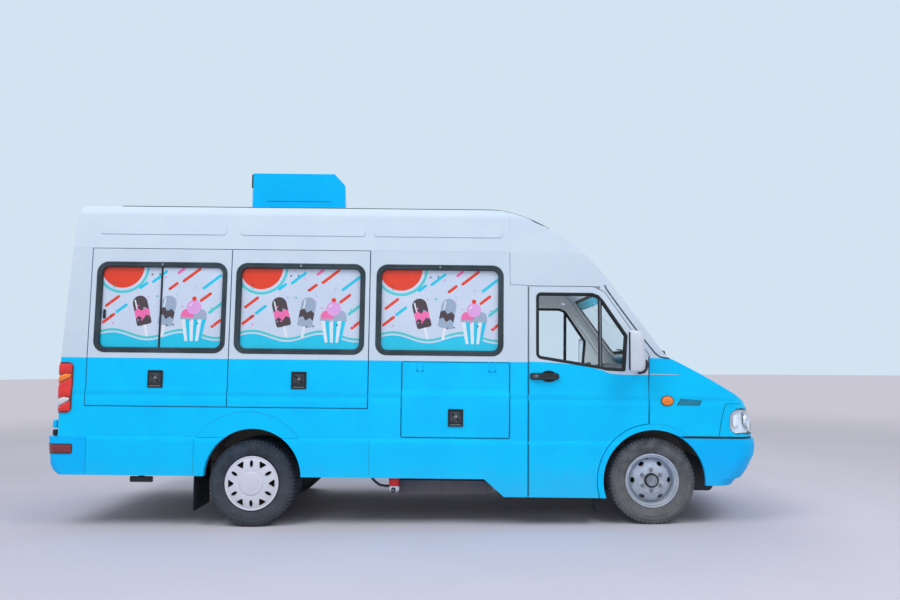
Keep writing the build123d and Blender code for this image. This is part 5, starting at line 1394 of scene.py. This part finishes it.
hinge = {"places": (0.066, 0.664), "half": 0.029, "foot": 1.27, "top": beltHeight, "leg": 0.012}
for number, x in enumerate(hinge["places"]):
    half, leg, low, high = hinge["half"], hinge["leg"], hinge["foot"], hinge["top"]
    plate = Shape()
    for shape in ((x - half, x - half + leg, low, high), (x + half - leg, x + half, low, high),
            (x - half, x + half, low, low + leg)):
        plate.slab(roundedRect(*shape, 0.004, 4), [(0, -0.001), (0, 0.0035), (0.0015, 0.005)], onSide(-1))
    plate.finish("lockerHinge%d" % number, "locker_leaf", "body_paint", "bluePaint")

# Seams: painted shade of the panel gaps, as thin dark strips on the skin; those of a leaf ride on it
def seamLine(shape, points, side, wide=0.0045, lift=0.0006):
    place = onSide(side)
    for a, b in zip(points, points[1:]):
        count = max(1, math.ceil(abs(b[1] - a[1]) / 0.06))
        way = (Vector(b) - Vector(a)).normalized()
        off = Vector((-way.y, way.x)) * wide / 2
        for k in range(count):
            p = Vector(a).lerp(Vector(b), k / count)
            q = Vector(a).lerp(Vector(b), (k + 1) / count)
            corners = [p - off, q - off, q + off, p + off]
            shape.loft([[place(c.x, c.y, out) for c in corners] for out in (-0.0006, lift)])


def arcLine(x, z, radius, first, last, steps=24):
    return [(x + radius * math.cos(math.radians(first + (last - first) * k / steps)),
        z + radius * math.sin(math.radians(first + (last - first) * k / steps))) for k in range(steps + 1)]


# the body's two arcs are painted shade lines along the wheel-arch flare beads
seams = {"body": [[(-0.343, 0.7), (-0.343, 0.424)], [(-1.785, 0.702), (-1.785, 0.41)],
    [(-2.672, 0.698), (-2.664, 0.404)], [(0.806, 2.27), (0.812, 2.004), (0.956, 1.997)],
    arcLine(-1.347, 0.392, 0.531, 37, 143), arcLine(1.999, 0.39, 0.469, 53, 96)],
    "hatch_rear_leaf": [[(-2.697, 2.268), (-2.697, 0.962), (-1.532, 0.962)]],
    "hatch_front_leaf": [[(-1.524, 2.268), (-1.524, 0.962), (-0.366, 0.962), (-0.366, 2.268)]],
    "locker_leaf": [[(-0.08, 1.335), (-0.08, 0.732), (0.805, 0.732), (0.805, 1.335)]],
    "cab_door_right_leaf": [[(0.9675, 0.262), (0.9675, 1.982)], [(1.9605, 1.416), (1.9605, 0.83)]]}
for body, lines in seams.items():
    gap = Shape()
    for line in lines:
        seamLine(gap, line, -1, {"body": 0.0026, "cab_door_right_leaf": 0.0055}.get(body, 0.0036))
    gap.finish("seam" + "".join(word.capitalize() for word in body.split("_")), body, "window_rubber",
        "seamShade" if "door" in body else "seamSoft")
gap = Shape()
for line in seams["cab_door_right_leaf"]:
    seamLine(gap, line, 1, 0.0055)
gap.finish("seamCabDoorLeftLeaf", "cab_door_left_leaf", "window_rubber", "seamShade")

# Painted shade: a dark line in the nose panel's edge gap, and black fills in the vent slots standing in for
# the shade inside them
noseSeamShade = [(2.533, 0.766), (2.551, 0.884), (2.583, 1.009), (2.59, 1.022), (2.6, 1.03), (2.66, 1.0315),
    (2.725, 1.031)]
vents = {"first": (2.211, 1.041), "step": (0.0207, -0.001), "length": 0.07, "width": 0.012, "lean": 60}
for end, side in bothSides:
    place = roundNose(side)
    gap = Shape()
    for a, b in zip(noseSeamShade, noseSeamShade[1:]):
        way = (Vector(b) - Vector(a)).normalized()
        off = Vector((-way.y, way.x)) * 0.0022
        for k in range(3):
            p, q = Vector(a).lerp(Vector(b), k / 3), Vector(a).lerp(Vector(b), (k + 1) / 3)
            gap.loft([[place(c.x - nose["start"], c.y, out) for c in (p - off, q - off, q + off, p + off)]
                for out in (-0.001, 0.0009)])
    gap.finish("noseSeamShade" + end, "body", "window_rubber", "seamShade")
    # black fills in the vent slots: painted shade of the slots' hollow insides
    slots = Shape()
    for k in range(9):
        u, v = vents["first"][0] + vents["step"][0] * k, vents["first"][1] + vents["step"][1] * k
        slots.slab(capsule(u, v, vents["length"] - 0.002 * k, vents["width"], vents["lean"]),
            [(0, -0.006), (0, 0.0003), (0.0012, 0.0007)], onSide(side))
    slots.finish("wingVentShade" + end, "body", "black_plastic", "blackRubber")

# Door mirrors
mirror = {"sections": [(1.281, 1.85, 0.1), (1.29, 1.878, 0.055), (1.31, 1.894, 0.03),
    (1.36, 1.898, 0.022), (1.43, 1.893, 0.02), (1.52, 1.888, 0.02), (1.58, 1.882, 0.022),
    (1.606, 1.868, 0.03), (1.618, 1.842, 0.046), (1.622, 1.812, 0.062)], "rear": 1.753, "turn": 0.045,
    "across": (1.064, 1.188), "glass": (1.078, 1.174, 1.306, 1.6)}

for end, side in bothSides:
    near, far = mirror["across"]
    housing = Shape()
    loops = []
    for z, front, pull in mirror["sections"]:
        soft = min(0.05, (front - mirror["rear"]) * 0.55)
        inner, outer = near + pull * 0.4, far - pull * 0.25
        plan = roundedOutline([(mirror["rear"] + mirror["turn"], side * inner, 0.01),
            (mirror["rear"], side * outer, 0.012), (front, side * outer, soft),
            (front, side * inner, soft * 0.8)], 0.02, 7)
        loops.append([Vector((x, y, z)) for x, y in plan])
    housing.loft(loops)
    y0, y1, z0, z1 = mirror["glass"]
    inward = Vector((mirror["turn"], side * (near - far), 0)).normalized()
    corner = Vector((mirror["rear"], side * far, 0))
    back = onPlane(corner, inward if side < 0 else -inward, Vector((0, 0, 1)))
    if back(0, 0, 1.0).x > corner.x:
        back = onPlane(corner, -inward if side < 0 else inward, Vector((0, 0, 1)))
    way = 1 if (back(1, 0, 0) - corner).dot(inward) > 0 else -1
    u0, u1 = sorted((way * 0.016, way * (far - near - 0.01)))
    housing.slab(roundedRect(u0 - 0.007, u1 + 0.007, z0 - 0.008, z1 + 0.008, 0.024),
        [(0, -0.004), (0, 0.004), (0.003, 0.006), (0.007, 0.004)], back, tint=1)
    housing.slab(roundedRect(u0, u1, z0, z1, 0.018), [(0, 0.002), (0, 0.0046)], back, tint=2)
    housing.tube([(mirror["rear"] + 0.0035, side * (far - 0.0045), z) for z in (1.302, 1.45, 1.604)],
        0.005, 8, tint=1)
    body, node = "cab_door_%s_leaf" % end.lower(), "mirror_" + end.lower()
    housing.finish("mirrorHousing" + end, body, "mirror_white", "whitePlastic", "blackRubber",
        "mirrorGlass", replaces=node)
    arm = Shape()
    arm.tube([(1.882, side * 0.984, 1.318), (1.884, side * 1.01, 1.318), (1.886, side * 1.045, 1.316),
        (1.88, side * 1.09, 1.308), (1.862, side * 1.125, 1.302)], 0.019, 16, flat=1.4)
    arm.tube([(1.882, side * 0.983, 1.318), (1.882, side * 0.995, 1.318)], 0.036, 24, flat=1.3)
    arm.tube([(1.896, side * 1.15, 1.384), (1.902, side * 1.152, 1.362), (1.903, side * 1.152, 1.335),
        (1.897, side * 1.154, 1.308), (1.88, side * 1.158, 1.288), (1.852, side * 1.162, 1.28),
        (1.826, side * 1.163, 1.28)], 0.0105, 12)
    arm.finish("mirrorArm" + end, body, "black_plastic", "blackPlastic", replaces=node)


def roofUnder(x, y, sky=3.4):
    # the top of the roof at one place, looked for from the sky down
    spots = [drape(node, x, y, sky, (0, 0, -1))[0] for node in ("load_roof", "cab_roof")]
    return max((s for s in spots if s.z < sky - 0.1), key=lambda s: s.z, default=None)


# Side repeaters and the small lamps on the roof
repeater = {"place": (2.11, 1.049), "size": (0.0545, 0.0435)}
roofLamps = {"along": (0.216, 0.457), "across": 0.4, "tall": 0.05}

for end, side in bothSides:
    x, z = repeater["place"]
    rx, rz = repeater["size"]
    place = onSide(side)
    lamp = Shape()
    lamp.slab(oval(x, z, rx, rz, 48), [(0, 0.0003), (0, 0.0045), (0.002, 0.006), (0.0055, 0.006),
        (0.007, 0.004)], place, tint=1)
    lamp.slab(oval(x, z, rx - 0.006, rz - 0.006, 48), [(0, 0.003), (0, 0.007), (0.004, 0.0105),
        (0.012, 0.0135), (0.024, 0.015)], place)
    lamp.slab(oval(x + 0.002, z - 0.001, 0.0045, 0.0045, 16), [(0, 0.012), (0, 0.0152), (0.001, 0.0158)],
        place, tint=2)
    lamp.finish("repeater" + end, "body", "lamp_amber", "amberLens", "blackPlastic", "darkRedLens",
        replaces="amber_lamps")
    for number, along in enumerate(roofLamps["along"]):
        foot = roofUnder(along, side * roofLamps["across"])
        tall = roofLamps["tall"]
        lamp = Shape()
        lamp.revolve([(0.0, -0.004), (0.021, -0.004), (0.021, 0.012), (0.018, 0.014), (0.0, 0.014)],
            foot, 32, 1, "Z")
        lamp.revolve([(0.0, 0.013), (0.0155, 0.013), (0.016, tall - 0.018), (0.0135, tall - 0.008),
            (0.008, tall - 0.002), (0.0, tall)], foot, 32, 0, "Z")
        lamp.finish("roofLamp%s%d" % (end, number), "body", "lamp_amber", "paleAmber", "blackPlastic",
            replaces="amber_lamps")

# Black strip in the groove between nose and bumper, round to the middle
nosing = {"low": 0.7445, "high": 0.7615, "from": -0.4, "to": 1.06}
for end, side in bothSides:
    strip = Shape()
    place = roundNose(side)
    count = 70
    loops = []
    for k in range(count + 1):
        s = nosing["from"] + (nosing["to"] - nosing["from"]) * k / count
        outer = 0.0035 if s < -0.1 else -0.004
        loops.append([place(s, z, out) for z, out in ((nosing["low"], -0.016), (nosing["low"], outer),
            (nosing["high"], outer), (nosing["high"], -0.016))])
    strip.loft(loops)
    strip.finish("bumperStrip" + end, "body", "black_plastic", "blackPlastic")

# Rubber line along the roof's edge, where the side turns over into the roof
# "eye" is how far away and how high it is seen from
roofLine = {"from": -2.52, "to": 1.18, "step": 0.06, "radius": 0.0056, "outer": 0.985, "inward": 0.011,
    "eye": (7.195, 1.36)}
eyeAway, eyeUp = roofLine["eye"]
for end, side in bothSides:
    path = []
    x = roofLine["from"]
    while x < roofLine["to"]:
        best = None
        for k in range(60):
            y = side * (roofLine["outer"] - roofLine["inward"] * k)
            spot = roofUnder(x, y)
            if spot is None:
                continue
            slope = (spot.z - eyeUp) / (eyeAway - abs(spot.y))
            if best is None or slope > best[0]:
                best = (slope, spot)
        if best:
            path.append(best[1])
        x += roofLine["step"]
    if len(path) > 3:
        smooth = [path[0]] + [(a + b * 2 + c) / 4 for a, b, c in zip(path, path[1:], path[2:])] + [path[-1]]
        strip = Shape()
        strip.tube(smooth, roofLine["radius"], 8)
        strip.finish("roofLine" + end, "body", "window_rubber", "edgeRubber")

# Roof box: its front narrows a little to the far side
roofBox = {"rear": -1.515, "front": -0.664, "farFront": -0.775, "top": 3.06, "farTop": 3.068,
    "chamfer": (0.1, 0.108), "foot": 2.66, "half": 0.43}
box = Shape()
loops = []
for y, inset in ((-1.0, 0.006), (-0.986, 0.0), (0.986, 0.0), (1.0, 0.006)):
    share = (y + 1) / 2
    front = roofBox["front"] + (roofBox["farFront"] - roofBox["front"]) * share
    top = roofBox["top"] + (roofBox["farTop"] - roofBox["top"]) * share
    back, (run, drop) = roofBox["rear"], roofBox["chamfer"]
    outline = roundedOutline([(back, roofBox["foot"], 0.004), (front, roofBox["foot"], 0.004),
        (front, top - drop, 0.008), (front - run, top, 0.008), (back, top, 0.01)], 0.004, 5)
    loops.append([Vector((u, y * roofBox["half"], v)) for u, v in insetOutline(outline, inset)])
box.loft(loops)
box.block((-1.517, -0.424, 2.985), (0.014, 0.02, 0.125), 0.004, tint=1)
# a thin dark strip along the box's right side: painted shade of its seam
box.block((-1.09, -0.4305, 2.8), (0.6, 0.0016, 0.004), 0.0006, tint=2)
box.finish("roofBoxCover", "body", "body_paint", "boxPaint", "blackPlastic", "seamShade",
    replaces="roof_box")

# The screen's side edge: a rubber line down the pillar
pillarLine = [(1.602, 2.007), (1.617, 1.973), (1.729, 1.815), (1.895, 1.591), (1.961, 1.509),
    (2.018, 1.439), (2.055, 1.412), (2.093, 1.404), (2.13, 1.4)]
for end, side in bothSides:
    line = Shape()
    line.tube([(x, side * (0.985 - (z - beltHeight) * upperSlope), z) for x, z in pillarLine], 0.0052, 8)
    line.finish("pillarLine" + end, "body", "window_rubber", "edgeRubber")

# Dark liners behind the wheels
liner = {"front": (1.6, 2.64, 0.245, 0.52), "rear": (-1.95, -0.9, 0.28, 0.44)}
for end, side in bothSides:
    lining = Shape()
    for x0, x1, low, across in liner.values():
        lining.slab(roundedRect(x0, x1, low, 0.8, 0.05, 4), [(0, 0.0), (0, 0.003)],
            onPlane(Vector((0, side * across, 0)), Vector((1, 0, 0)), Vector((0, 0, 1))))
    lining.finish("wheelLiner" + end, "body", "black_plastic", "blackPlastic")

# Wipers: pivots on the cowl, sprung arms and blades
wiper = {"pivots": (-0.8, 0.06), "reach": 0.33, "blade": 0.48, "knuckle": (2.142, 1.398),
    "rise": 1.466}
runDown = (screenTop - screenFoot).length
arms = Shape()
for y in wiper["pivots"]:
    x, z = wiper["knuckle"]
    arms.tube([(x, y, z - 0.012), (x, y, z + 0.012)], 0.018, 20)
    arms.tube([(x + 0.002, y, z + 0.004), (x, y, z + 0.036), (x - 0.006, y + 0.004, wiper["rise"] - 0.006)],
        0.0125, 12)
    arms.tube([(x - 0.006, y + 0.004, wiper["rise"] - 0.008), (x - 0.02, y + 0.012, wiper["rise"]),
        (x - 0.038, y + 0.03, wiper["rise"] - 0.006), onScreen(y + 0.08, -runDown + 0.04, 0.04),
        onScreen(y + 0.18, -runDown + 0.058, 0.03),
        onScreen(y + wiper["reach"], -runDown + 0.078, 0.022)], 0.0068, 10)
    a, b = y + wiper["reach"] - wiper["blade"] / 2, y + wiper["reach"] + wiper["blade"] / 2
    blade = [onScreen(a + (b - a) * k / 12, -runDown + 0.058 + 0.04 * k / 12,
        0.006 + 0.01 * math.sin(math.pi * k / 12)) for k in range(13)]
    arms.tube(blade, 0.0055, 8)
    arms.tube([onScreen(a + (b - a) * k / 12, -runDown + 0.058 + 0.04 * k / 12, 0.001) for k in range(13)],
        0.0035, 6, tint=1)
arms.finish("wiperArms", "body", "black_plastic", "blackPlastic", "blackRubber", replaces="wipers")

# Power inlet under the sill with its lid and conduit
inlet = {"x": -0.136, "y": -0.925, "wide": 0.086, "deep": 0.088}
socket = Shape()
socket.block((inlet["x"], inlet["y"], 0.358), (inlet["wide"], inlet["deep"], 0.066), 0.01)
socket.block((inlet["x"], inlet["y"], 0.389), (0.094, 0.094, 0.01), 0.003)
socket.block((inlet["x"] + 0.03, inlet["y"] - 0.002, 0.35), (0.02, 0.09, 0.02), 0.004)
socket.block((inlet["x"], inlet["y"], 0.304), (inlet["wide"] - 0.002, inlet["deep"], 0.046), 0.012, tint=1)
socket.tube([(inlet["x"] - 0.004, inlet["y"] - 0.042, 0.3),
    (inlet["x"] - 0.004, inlet["y"] - 0.052, 0.298)], 0.019, 24, tint=2)
socket.tube([(inlet["x"] - 0.004, inlet["y"] - 0.05, 0.298),
    (inlet["x"] - 0.004, inlet["y"] - 0.0525, 0.298)], 0.008, 16, tint=3)
socket.block((inlet["x"], -0.875, 0.45), (0.04, 0.01, 0.13), 0.003, tint=2)
socket.tube([(-0.176, -0.925, 0.322), (-0.215, -0.925, 0.322), (-0.258, -0.925, 0.33),
    (-0.3, -0.925, 0.36), (-0.33, -0.925, 0.396), (-0.345, -0.925, 0.43), (-0.348, -0.925, 0.47)],
    0.0105, 14, tint=2)
socket.finish("powerSocket", "body", "inlet_red", "redPlastic", "whitePlastic", "blackPlastic", "zinc",
    replaces="power_inlet")

# Painted highlight along the crease on the wing, as a thin white strip; a bracket under the rear sill, and
# the tail's small fittings
for end, side in bothSides:
    crease = Shape()
    crease.slab(roundedOutline([(1.969, 1.2605, 0.002), (2.19, 1.2625, 0.002), (2.235, 1.2655, 0.001),
        (2.19, 1.269, 0.002), (1.969, 1.2705, 0.002)], 0.002, 3),
        [(0, -0.001), (0, 0.0006), (0.001, 0.0012)], onSide(side))
    crease.finish("wingCreaseHighlight" + end, "body", "upper_paint", "whitePaint")
fittings = Shape()
fittings.block((-2.24, -0.905, 0.352), (0.19, 0.03, 0.046), 0.006)
fittings.block((-2.24, -0.905, 0.385), (0.05, 0.02, 0.03), 0.004)
for side in (-1, 1):
    for z in (0.8, 1.25, 1.98):
        fittings.block((-2.932 + max(0.0, z - beltHeight) * 0.0718, side * 0.9, z), (0.026, 0.052, 0.075),
            0.006)
for side in (-1, 1):
    fittings.block((-2.972, side * 0.9, 0.73), (0.036, 0.044, 0.046), 0.005)
    fittings.block((-2.97, side * 0.9, 0.8), (0.04, 0.05, 0.064), 0.006, tint=1)
fittings.finish("tailFittings", "body", "black_plastic", "blackPlastic", "bluePaint")
tailHandle = Shape()
tailHandle.slab(capsule(-0.075, 1.215, 0.15, 0.05, 0), [(0, -0.001), (0, 0.006), (0.003, 0.009)], onTail)
tailHandle.slab(capsule(-0.075, 1.215, 0.12, 0.026, 0), [(0, 0.004), (0, 0.018), (0.004, 0.024)], onTail,
    tint=1)
tailHandle.slab(oval(-0.04, 1.165, 0.012, 0.012, 24), [(0, -0.001), (0, 0.006), (0.002, 0.008)], onTail,
    tint=2)
tailHandle.finish("tailHandle", "rear_door_right_leaf", "black_plastic", "blackPlastic", "darkTrim", "zinc")
print("small pieces built")

# Seats: closed pads swollen as cloth, then given their seams

seat = {"across": 0.48, "cushion": ((1.01, 1.5), (0.893, 1.008), 0.245), "backWidth": 0.235,
    "backLine": [(1.055, 1.02), (0.985, 1.36), (0.94, 1.69)], "thick": 0.1, "fill": 0.7,
    "reach": 0.012}


def padShape(sections):
    # a closed lofted pad: each section a centre, half width, half thickness and its two ways
    shape = Shape()
    loops = []
    for middle, wide, thick, across, up in sections:
        loop = []
        for a in turns(36):
            c, s = math.cos(a), math.sin(a)
            u = wide * math.copysign(abs(c) ** 0.42, c)
            v = thick * math.copysign(abs(s) ** 0.6, s)
            loop.append(middle + across * u + up * v)
        loops.append(loop)
    shape.loft(loops)
    return shape


def swell(piece, reach, pressure=4.0):
    # swells a closed pad as cloth in a scene of its own, and stops any point that moves further than reach
    bench = bpy.data.scenes.new("padBench")
    layer = bench.view_layers[0]
    body = bpy.data.objects.new("pad", piece.data.copy())
    bench.collection.objects.link(body)

    def shaped():
        layer.update()
        return body.evaluated_get(layer.depsgraph)

    blocks = body.modifiers.new("even", "REMESH")
    blocks.mode, blocks.voxel_size = "VOXEL", 0.009
    even = bpy.data.meshes.new_from_object(shaped())
    body.modifiers.remove(blocks)
    body.data = even
    start = [v.co.copy() for v in even.vertices]
    cloth = body.modifiers.new("cloth", "CLOTH")
    cloth.settings.use_pressure = True
    cloth.settings.uniform_pressure_force = pressure
    cloth.settings.effector_weights.gravity = 0.0
    cloth.settings.quality = 5
    for frameNumber in range(1, 21):
        bench.frame_set(frameNumber)
    moved = [v.co.copy() for v in shaped().data.vertices]
    body.modifiers.remove(cloth)
    for vertex, old, new in zip(even.vertices, start, moved):
        step = new - old
        vertex.co = old + step * min(1.0, reach / max(step.length, 1e-6))
    smooth = body.modifiers.new("smooth", "SUBSURF")
    smooth.levels = 1
    result = bpy.data.meshes.new_from_object(shaped())
    bpy.data.objects.remove(body)
    bpy.data.scenes.remove(bench)
    result.shade_smooth()
    result.materials.clear()
    for material in piece.data.materials:
        result.materials.append(material)
    piece.data = result


def sewChannels(piece, lines, depth=0.01, width=0.012):
    # pulls the cloth in along each line: a point on it and the way across it
    back, moved = bodyTurn.inverted(), []
    for vertex in piece.data.vertices:
        spot = back @ vertex.co
        pull = 0.0
        for middle, across, along, half in lines:
            offset = spot - middle
            if abs(offset.dot(along)) < half:
                pull = max(pull, math.exp(-(offset.dot(across) / width) ** 2))
        moved.append(vertex.co - vertex.normal * depth * pull)
    for vertex, spot in zip(piece.data.vertices, moved):
        vertex.co = spot
    piece.data.update()


def copyAcross(piece, finished):
    # the other seat's pad, moved over
    piece.data = finished.data.copy()
    piece.data.transform(Matrix.Translation((0, 2 * seat["across"], 0)))


pads = []
for end, side in bothSides:
    y = side * seat["across"]
    (x0, x1), (z0, z1), half = seat["cushion"]
    ahead, sideways, upward = Vector((1, 0, 0)), Vector((0, 1, 0)), Vector((0, 0, 1))
    sections = []
    for k in range(13):
        share = k / 12
        taper = 1 - 0.55 * abs(2 * share - 1) ** 7
        lift = 0.01 * math.sin(math.pi * share) + 0.014 * share
        sections.append((Vector((x0 + 0.012 + (x1 - x0 - 0.024) * share, y, (z0 + z1) / 2 + lift - 0.008)),
            (half - 0.01) * (1 - 0.1 * abs(2 * share - 1) ** 5), 0.05 * taper, sideways, upward))
    cushion = padShape(sections).finish("seatCushion" + end, "body", "seat_fabric", "seatCloth",
        replaces="seat_cushions")
    if side < 0:
        swell(cushion, seat["reach"])
        middle = Vector(((x0 + x1) / 2, y, z1))
        sewChannels(cushion, [(middle + sideways * 0.135 * s, sideways, ahead, 0.19) for s in (-1, 1)]
            + [(middle + ahead * 0.12, ahead, sideways, 0.135),
            (middle - ahead * 0.06, ahead, sideways, 0.135)], 0.009, 0.01)
        pads.append(cushion)
    else:
        copyAcross(cushion, pads[0])
    low, mid, top = [Vector((p[0], y, p[1])) for p in seat["backLine"]]
    sections = []
    for k in range(17):
        share = k / 16
        spot = (low.lerp(mid, share * 2) if share < 0.5 else mid.lerp(top, share * 2 - 1))
        along = ((mid - low) if share < 0.5 else (top - mid)).normalized()
        outward = sideways.cross(along).normalized()
        wide = seat["backWidth"] * (1 - 0.1 * share) * (1 - 0.16 * max(0.0, share - 0.7) / 0.3)
        thick = (seat["thick"] / 2) * (1 - 0.3 * share) * (1 - 0.5 * abs(2 * share - 1) ** 9)
        sections.append((spot, wide - 0.008, thick, sideways, outward))
    back = padShape(sections).finish("seatBack" + end, "body", "seat_fabric", "seatCloth",
        replaces="seat_cushions")
    if side < 0:
        swell(back, seat["reach"])
        slope = (top - low).normalized()
        facing = (low + top) / 2
        sewChannels(back, [(facing + sideways * 0.125 * s, sideways, slope, 0.27) for s in (-1, 1)]
            + [(facing + slope * t, slope, sideways, 0.125) for t in (-0.16, -0.02, 0.12)], 0.008, 0.01)
        pads.append(back)
    else:
        copyAcross(back, pads[1])
print("seats built")

# Closing

print("scene finished")
